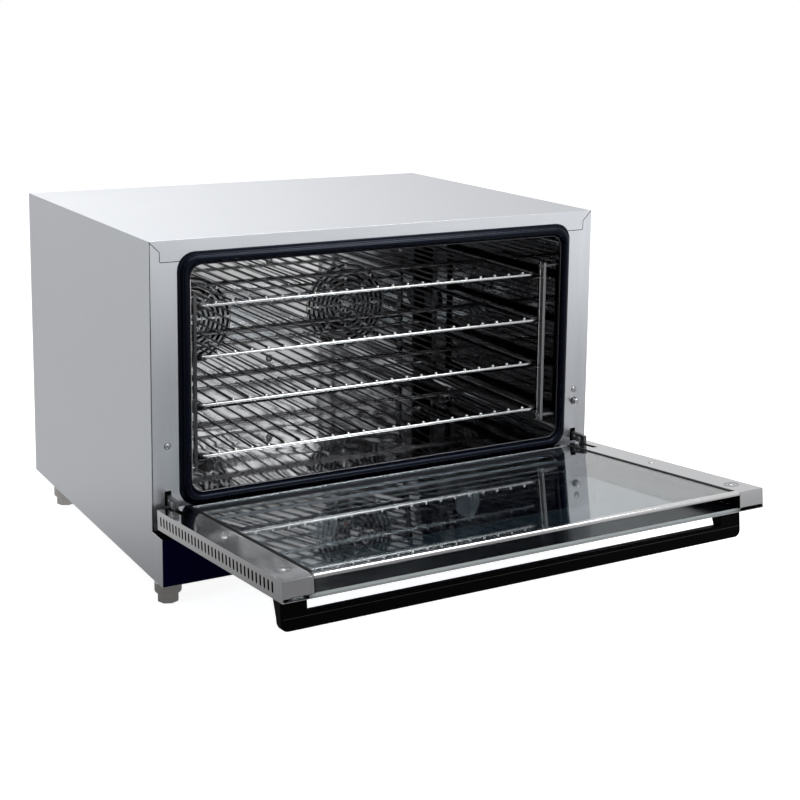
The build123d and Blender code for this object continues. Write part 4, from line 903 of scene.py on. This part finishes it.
hinge_slot_shade_spans = []
roller_places = []
rivet_places = []
for side in SIDES:
    x = side * STILE_X
    hinge_slot_shade_spans.append(((x - 0.0055, FRONT - 0.0001, 0.1500), (x + 0.0055, FRONT + 0.0003, 0.1735)))
    roller_places.append(standing((x - 0.0046, -0.1215, 0.1590), (1, 0, 0)))
    for y, z in ((-0.1080, 0.1615), (-0.1290, 0.1450)):
        rivet_places += [((x + face * 0.003, y, z), (face, 0, 0)) for face in SIDES]
piece("hinge_slot_shadows", plates(hinge_slot_shade_spans), shade_and_joint_black, "left_side_panel")
roller = [
    (0, 0), (4.6, 0), (5.2, 0.5), (5.2, 3.2), (4.4, 3.9), (4.4, 5.3), (5.2, 6.0), (5.2, 8.7), (4.6, 9.2),
    (0, 9.2),
]
piece("hinge_rollers", turned(roller, roller_places, 28), screw_steel, "hinge_arms")
rivet = turned([(0, 1.1), (1.1, 0.9), (1.9, 0.4), (2.2, 0), (0, -0.4)], steps=16)
piece("hinge_rivets", spread(rivet, rivet_places), screw_steel, "hinge_arms")

# Control box: a black sheet over its top, painted shade of the gap under the door; printed dials, knob
# pointers and lamp rim

# The black sheet on the control box's top is painted shade.
recess = plates([((-0.4158, -0.1392, 0.1110), (0.4158, FRONT - 0.0002, 0.1113))])
piece("control_top_recess", recess, shade_and_joint_black, "control_box")


def numeral(text, x, z):
    """Mesh of a number that faces the front, centred at X and Z."""
    words = bpy.data.curves.new("numeral", "FONT")
    words.body = text
    words.size = 0.0042
    words.extrude = 0.00006
    words.align_x = "CENTER"
    words.align_y = "CENTER"
    mesh = evaluated(holding("numeral", words))
    upright = Matrix.Rotation(math.pi / 2, 4, "X")
    mesh.transform(Matrix.Translation((x, CONTROL_FRONT - 0.00005, z)) @ upright)
    return mesh


MARK_RADIUS = 0.0259
NUMBER_RADIUS = 0.0290


def dial(x, turn, numbers, marks_between):
    """Marks and numbers round a knob, clockwise from the top over a turn in degrees."""
    gaps = (len(numbers) - 1) * marks_between
    places = []
    meshes = []
    for mark in range(gaps + 1):
        angle = math.radians(turn * mark / gaps)
        outwards = Vector((math.sin(angle), 0, math.cos(angle)))
        middle = Vector((x, CONTROL_FRONT, KNOB_Z))
        places.append((middle + MARK_RADIUS * outwards, outwards))
        if mark % marks_between == 0:
            number_place = middle + NUMBER_RADIUS * outwards
            meshes.append(numeral(numbers[mark // marks_between], number_place.x, number_place.z))
    stroke = plates([((-0.00025, -0.0001, -0.0011), (0.00025, 0.0001, 0.0011))])
    meshes.append(spread(stroke, places))
    return joined_meshes(meshes)


minutes = dial(-KNOB_X, 300, ["0", "20", "40", "60", "80", "100", "120"], 4)
degrees = dial(KNOB_X, 270, ["0", "50", "100", "150", "200", "250", "300"], 5)
piece("dial_print", joined_meshes([minutes, degrees]), print_white, "control_fascia")
for name, x in (("timer", -KNOB_X), ("thermostat", KNOB_X)):
    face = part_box(name + "_knob")[0].y
    pointer = [((x - 0.0008, face - 0.0001, KNOB_Z + 0.004), (x + 0.0008, face + 0.0003, KNOB_Z + 0.0205))]
    piece(name + "_pointer", plates(pointer), fascia_paint, name + "_knob")
lamp_rim = [(5.1, 0), (5.1, 1.2), (5.6, 1.6), (6.4, 1.3), (6.9, 0)]
lamp_rim = turned(lamp_rim, [standing((-0.096, CONTROL_FRONT, KNOB_Z), TO_FRONT)], ring=True)
piece("lamp_rim", lamp_rim, screw_steel, "indicator_lamp")

# Door: seal beads beside the inner pane

BEAD = (
    (0.3597, 0.0), (0.3606, -0.0005), (0.3622, -0.0008), (0.3645, -0.0008), (0.3660, -0.0004), (0.3666, 0.0),
)
beads = []
for side in SIDES:
    rings = [[DOOR @ Vector((side * x, u, w)) for x, w in BEAD] for u in (0.0125, 0.4465)]
    beads.append(loft(rings, close_path=False))
piece("pane_seal_beads", joined_meshes(beads), seal_rubber, "side_seals")

# Door: black backing behind the side slots, painted shade; dark joints at the corner blocks; black slits
# below them, painted shade

dark_parts = []
for side in SIDES:
    dark_parts.append(((side * 0.4116, 0.006, 0.0040), (side * 0.4122, 0.4395, 0.0272)))
    dark_parts.append(((side * 0.3655, 0.4390, 0.0062), (side * 0.3666, 0.4575, 0.0255)))
    dark_parts.append(((side * 0.3667, 0.4390, -0.00004), (side * 0.3674, 0.4578, 0.0009)))
dark_parts.append(((0.3700, 0.4570, 0.0246), (0.4100, 0.45802, 0.0254)))
for part in range(4):
    start = -0.3700 - 0.0085 * part
    dark_parts.append(((start, 0.4570, 0.0246), (start - 0.0064, 0.45802, 0.0254)))
piece("door_dark_parts", plates(dark_parts, DOOR), shade_and_joint_black, "side_seals")

# Door: enamel and ground edge of the outer pane, pressed rings round the screws, ridge of the handle

enamel = plates([((-0.3666, 0.3900, 0.0258), (0.3666, 0.4520, 0.0260))], DOOR)
piece("edge_enamel", enamel, black_enamel, "outer_glass")
ground_edge = plates([((-0.3720, 0.4520, 0.0261), (0.3720, 0.4524, 0.0299))], DOOR)
piece("ground_edge", ground_edge, ground_glass, "outer_glass")
ring_places = [standing(DOOR @ Vector((side * STILE_X, DOOR_SCREW_U, 0)), DOOR_INWARDS) for side in SIDES]
# The pressed rings round the door screws take dark steel: painted shade on the pressing.
pressed = [(10.7, -0.2), (10.8, 0.3), (11.2, 0.45), (11.6, 0.3), (11.7, -0.2)]
pressed_rings = turned(pressed, ring_places, 48, ring=True)
piece("pressed_rings", pressed_rings, hinge_steel, "door_frame")
ridge = plates([((-0.3960, 0.4198, 0.0652), (0.3960, 0.4203, 0.0660))], DOOR)
piece("handle_ridge", ridge, ridge_plastic, "handle")

# Fan grilles: a raised bead on every ring between the slots

grille_rings = []
for ring in range(8):
    radius = 16.9 + 9.8 * ring
    section = []
    for step in range(4):
        angle = math.pi * step / 3
        section.append((radius + 1.5 * math.cos(angle), 1.3 * math.sin(angle)))
    grille_rings.append(turned(section, steps=64))
grille_places = [((side * FAN_X, baffle_y, FAN_Z), TO_FRONT) for side in SIDES]
piece("grille_beads", spread(joined_meshes(grille_rings), grille_places), shelf_bar, "fan_baffle")

# Right rack: satin faces and a rolled edge on its front upright. Only the right rack gets the satin faces,
# lighter than the left rack's darkened steel: painted highlight; the rolled edge's near-white steel is a
# painted highlight too

rack_parts = [
    ((rack_inner - 0.0002, rack_low.y - 0.0001, rack_low.z), (rack_inner, rack_low.y + 0.010, rack_high.z)),
    ((rack_inner, rack_low.y - 0.0002, rack_low.z), (rack_high.x, rack_low.y, rack_high.z)),
]
piece("rack_upright_faces", plates(rack_parts), lit_rack_satin, "right_rack")
edge_place = standing((rack_inner - 0.0002, rack_low.y + 0.010, rack_low.z), UP)
tall = (rack_high.z - rack_low.z) * 1000
rack_edge = turned([(0, 0), (0.9, 0), (0.9, tall), (0, tall)], [edge_place], 12)
piece("rack_rolled_edge", rack_edge, painted_highlight_steel, "right_rack")


# Rear panel: a hood over each louvre

def louvre_hood():
    """One hood, open downwards, that bulges from the panel and closes at both ends."""
    rings = []
    half = 0.066
    outer = [(0.0, 0.0042), (0.0017, 0.0038), (0.0031, 0.0026), (0.0038, 0.0008), (0.0040, -0.0016)]
    inner = [(0.0034, -0.0016), (0.0032, 0.0006), (0.0026, 0.0020), (0.0013, 0.0031), (-0.0003, 0.0034)]
    for step in range(-12, 13):
        x = half * math.sin(math.pi / 2 * step / 12)
        swell = math.sqrt(max(0.0, 1 - (x / half) ** 8))
        rings.append([(x, y * swell, z) for y, z in outer + inner])
    return smoothed(loft(rings, close_path=False), 50)


LOUVRE_PITCH = 0.014
louvre_places = [
    ((side * FAN_X, REAR, FAN_Z + LOUVRE_PITCH * row), UP) for side in SIDES for row in range(-4, 5)
]
piece("louvre_hoods", spread(louvre_hood(), louvre_places), zinc_steel, "rear_panel")

# Insulation: the same slabs, cut into a fine grid and drawn in unevenly

WOOL_GRID = 0.03
WOOL_SINK = 0.0011
wool = bmesh.new()
wool.from_mesh(merged_copy("insulation"))
for axis, low, high in ((0, -0.36, 0.36), (1, -0.08, 0.45), (2, 0.15, 0.54)):
    for cut in range(int((high - low) / WOOL_GRID) + 1):
        place = [0, 0, 0]
        normal = [0, 0, 0]
        place[axis] = low + cut * WOOL_GRID
        normal[axis] = 1
        everything = wool.verts[:] + wool.edges[:] + wool.faces[:]
        bmesh.ops.bisect_plane(wool, geom=everything, plane_co=place, plane_no=normal)
wool.normal_update()
for vertex in wool.verts:
    vertex.co -= vertex.normal * WOOL_SINK * (1 + noise.noise(vertex.co * 31))
slabs = smoothed(written(wool, "wool"), 50)
piece("wool_slabs", slabs, mineral_wool, "insulation", "insulation")


# Camera

def look(place, yaw, pitch, roll):
    """Camera placed and turned: yaw to the right of +Y, pitch down, roll clockwise, in degrees."""
    yaw, pitch, roll = (math.radians(angle) for angle in (yaw, pitch, roll))
    ahead = Vector((math.sin(yaw) * math.cos(pitch), math.cos(yaw) * math.cos(pitch), -math.sin(pitch)))
    right = Vector((math.cos(yaw), -math.sin(yaw), 0))
    up = right.cross(ahead)
    turned_right = right * math.cos(roll) + up * math.sin(roll)
    turned_up = up * math.cos(roll) - right * math.sin(roll)
    matrix = Matrix((turned_right, turned_up, -ahead)).transposed().to_4x4()
    matrix.translation = place
    return matrix


camera_data = bpy.data.cameras.new("camera")
camera_data.sensor_width = 36.0
camera_data.lens = 68.62
camera_data.shift_y = -0.2
camera = holding("camera", camera_data)
camera.matrix_world = look((-1.2154, FRONT - 2.1808, 0.9435), 29.611, 9.032, 0.679)
bpy.context.scene.camera = camera


# Floor and surroundings: white where they are seen, graded where polished steel mirrors them.
# The black of the chamber's right half is a dark zone that only a second mirroring shows.

BLACK = 0.004
LEFT_ACROSS_VIEW = (-1, 0.505, 0)


def background_seen(tree):
    """1 for rays from the camera, from gloss and through glass, 0 for the rest."""
    path = node(tree, "ShaderNodeLightPath").outputs
    seen = maths(tree, "MAXIMUM", path["Is Camera Ray"], path["Is Glossy Ray"])
    return maths(tree, "MAXIMUM", seen, path["Is Transmission Ray"])


def second_mirroring(tree, path):
    return maths(tree, "GREATER_THAN", path["Ray Depth"], 1.5)


def toward(tree, vector, direction, start, end):
    """0 to 1 as a vector leans towards a direction."""
    leaning = {0: vector, 1: direction}
    lean = node(tree, "ShaderNodeVectorMath", leaning, operation="DOT_PRODUCT").outputs["Value"]
    return node(tree, "ShaderNodeMapRange", {
        "Value": lean, "From Min": start, "From Max": end,
    }, interpolation_type="SMOOTHSTEP").outputs[0]


def mirrored_floor(tree, path):
    """Brightness of the floor where steel mirrors it."""
    zone = partial(toward, tree, object_place(tree))
    in_front = zone((0.45, -0.89, 0), 1.5, 3.6)
    behind = zone((-0.49, 0.87, 0), 0.0, 0.8)
    far_left = zone((-0.87, -0.49, 0), 0.0, 0.35)
    ahead = zone(TO_FRONT, 0.2, 0.5)
    ahead = maths(tree, "MULTIPLY", ahead, second_mirroring(tree, path))
    beside = maths(tree, "MULTIPLY", zone(LEFT_ACROSS_VIEW, -0.42, -0.36), ahead)
    by_camera = maths(tree, "MULTIPLY", zone(LEFT_ACROSS_VIEW, -0.4, -0.12), ahead)
    near = mixed(tree, far_left, mixed(tree, behind, 0.48, 0.64), mixed(tree, behind, 0.25, 0.64))
    lit = mixed(tree, beside, mixed(tree, in_front, near, 1.6), 1.3)
    return mixed(tree, by_camera, lit, BLACK)


def floor_piece():
    mesh = bpy.data.meshes.new("floor")
    reach = 9.0
    corners = [(-reach, -reach, 0), (reach, -reach, 0), (reach, reach, 0), (-reach, reach, 0)]
    mesh.from_pydata(corners, [], [(0, 1, 2, 3)])
    material, tree, shader = surface("pale_floor", Roughness=1.0, Specular_IOR_Level=0.0,
                                     Base_Color=(0.5, 0.5, 0.5, 1), Emission_Color=(1, 1, 1, 1))
    path = node(tree, "ShaderNodeLightPath").outputs
    glow = maths(tree, "MULTIPLY", background_seen(tree), 0.88)
    tree.links.new(glow, shader.inputs["Emission Strength"])
    in_gloss = node(tree, "ShaderNodeEmission", {"Strength": mirrored_floor(tree, path)})
    # Seen through the glass the floor glows dim teal: painted shade of the floor under the door.
    through_glass = node(tree, "ShaderNodeEmission", {"Color": (0.55, 0.9, 1.1, 1), "Strength": 0.05})
    either = shader
    for kind, other in (("Is Glossy Ray", in_gloss), ("Is Transmission Ray", through_glass)):
        either = node(tree, "ShaderNodeMixShader", {0: path[kind], 1: either.outputs[0], 2: other.outputs[0]})
    tree.links.new(either.outputs[0], tree.nodes["Material Output"].inputs["Surface"])
    mesh.materials.append(material)
    floor = holding("floor", mesh)


def studio_world():
    world = bpy.data.worlds.new("studio")
    bpy.context.scene.world = world
    world.use_nodes = True
    tree = world.node_tree
    shade = tree.nodes["Background"]
    shade.inputs["Color"].default_value = (1, 1, 1, 1)
    zone = partial(toward, tree, node(tree, "ShaderNodeTexCoord").outputs["Generated"])
    path = node(tree, "ShaderNodeLightPath").outputs
    camera_side = zone((-0.6, -0.8, 0), 0.76, 0.92)
    by_camera = maths(tree, "MULTIPLY", camera_side, second_mirroring(tree, path))
    turned_left = zone((-0.89, 0.45, 0), 0.0, 0.07)
    by_camera = maths(tree, "MULTIPLY", by_camera, turned_left)
    behind_left = zone((-0.3, 0.95, 0), 0.55, 0.9)
    straight_behind = zone((-0.3, 0.95, 0), 0.84, 0.92)
    in_front = zone((0.45, -0.88, 0), 0.6, 0.95)
    left_front = zone((-0.45, -0.89, 0), 0.9, 0.96)
    low = zone((0, 0, -1), -0.36, -0.3)
    raised = zone(UP, 0.235, 0.28)
    around = mixed(tree, straight_behind, mixed(tree, behind_left, 0.74, 1.5), 0.9)
    around = mixed(tree, maths(tree, "MULTIPLY", in_front, low), around, mixed(tree, raised, 0.75, 1.2))
    around = mixed(tree, maths(tree, "MULTIPLY", left_front, low), around, 1.05)
    in_gloss = mixed(tree, by_camera, around, BLACK)
    seen_through = maths(tree, "MAXIMUM", path["Is Camera Ray"], path["Is Transmission Ray"])
    strength = mixed(tree, seen_through, mixed(tree, path["Is Glossy Ray"], 0.5, in_gloss), 1.0)
    tree.links.new(strength, shade.inputs["Strength"])


def softbox(name, place, aim, size, power):
    data = bpy.data.lights.new(name, "AREA")
    data.shape = "RECTANGLE"
    data.size = size
    data.size_y = size
    data.energy = power
    light = holding(name, data)
    light.location = place
    light.rotation_euler = (Vector(aim) - Vector(place)).to_track_quat("-Z", "Y").to_euler()


floor_piece()
studio_world()
softbox("overhead_softbox", (-0.2, 0.0, 2.6), (0, 0.1, 0.3), 2.4, 45)
softbox("front_softbox", (1.3, -1.45, 2.8), (0, 0, 0.3), 1.1, 45)

scene = bpy.context.scene
scene.view_settings.view_transform = "Standard"
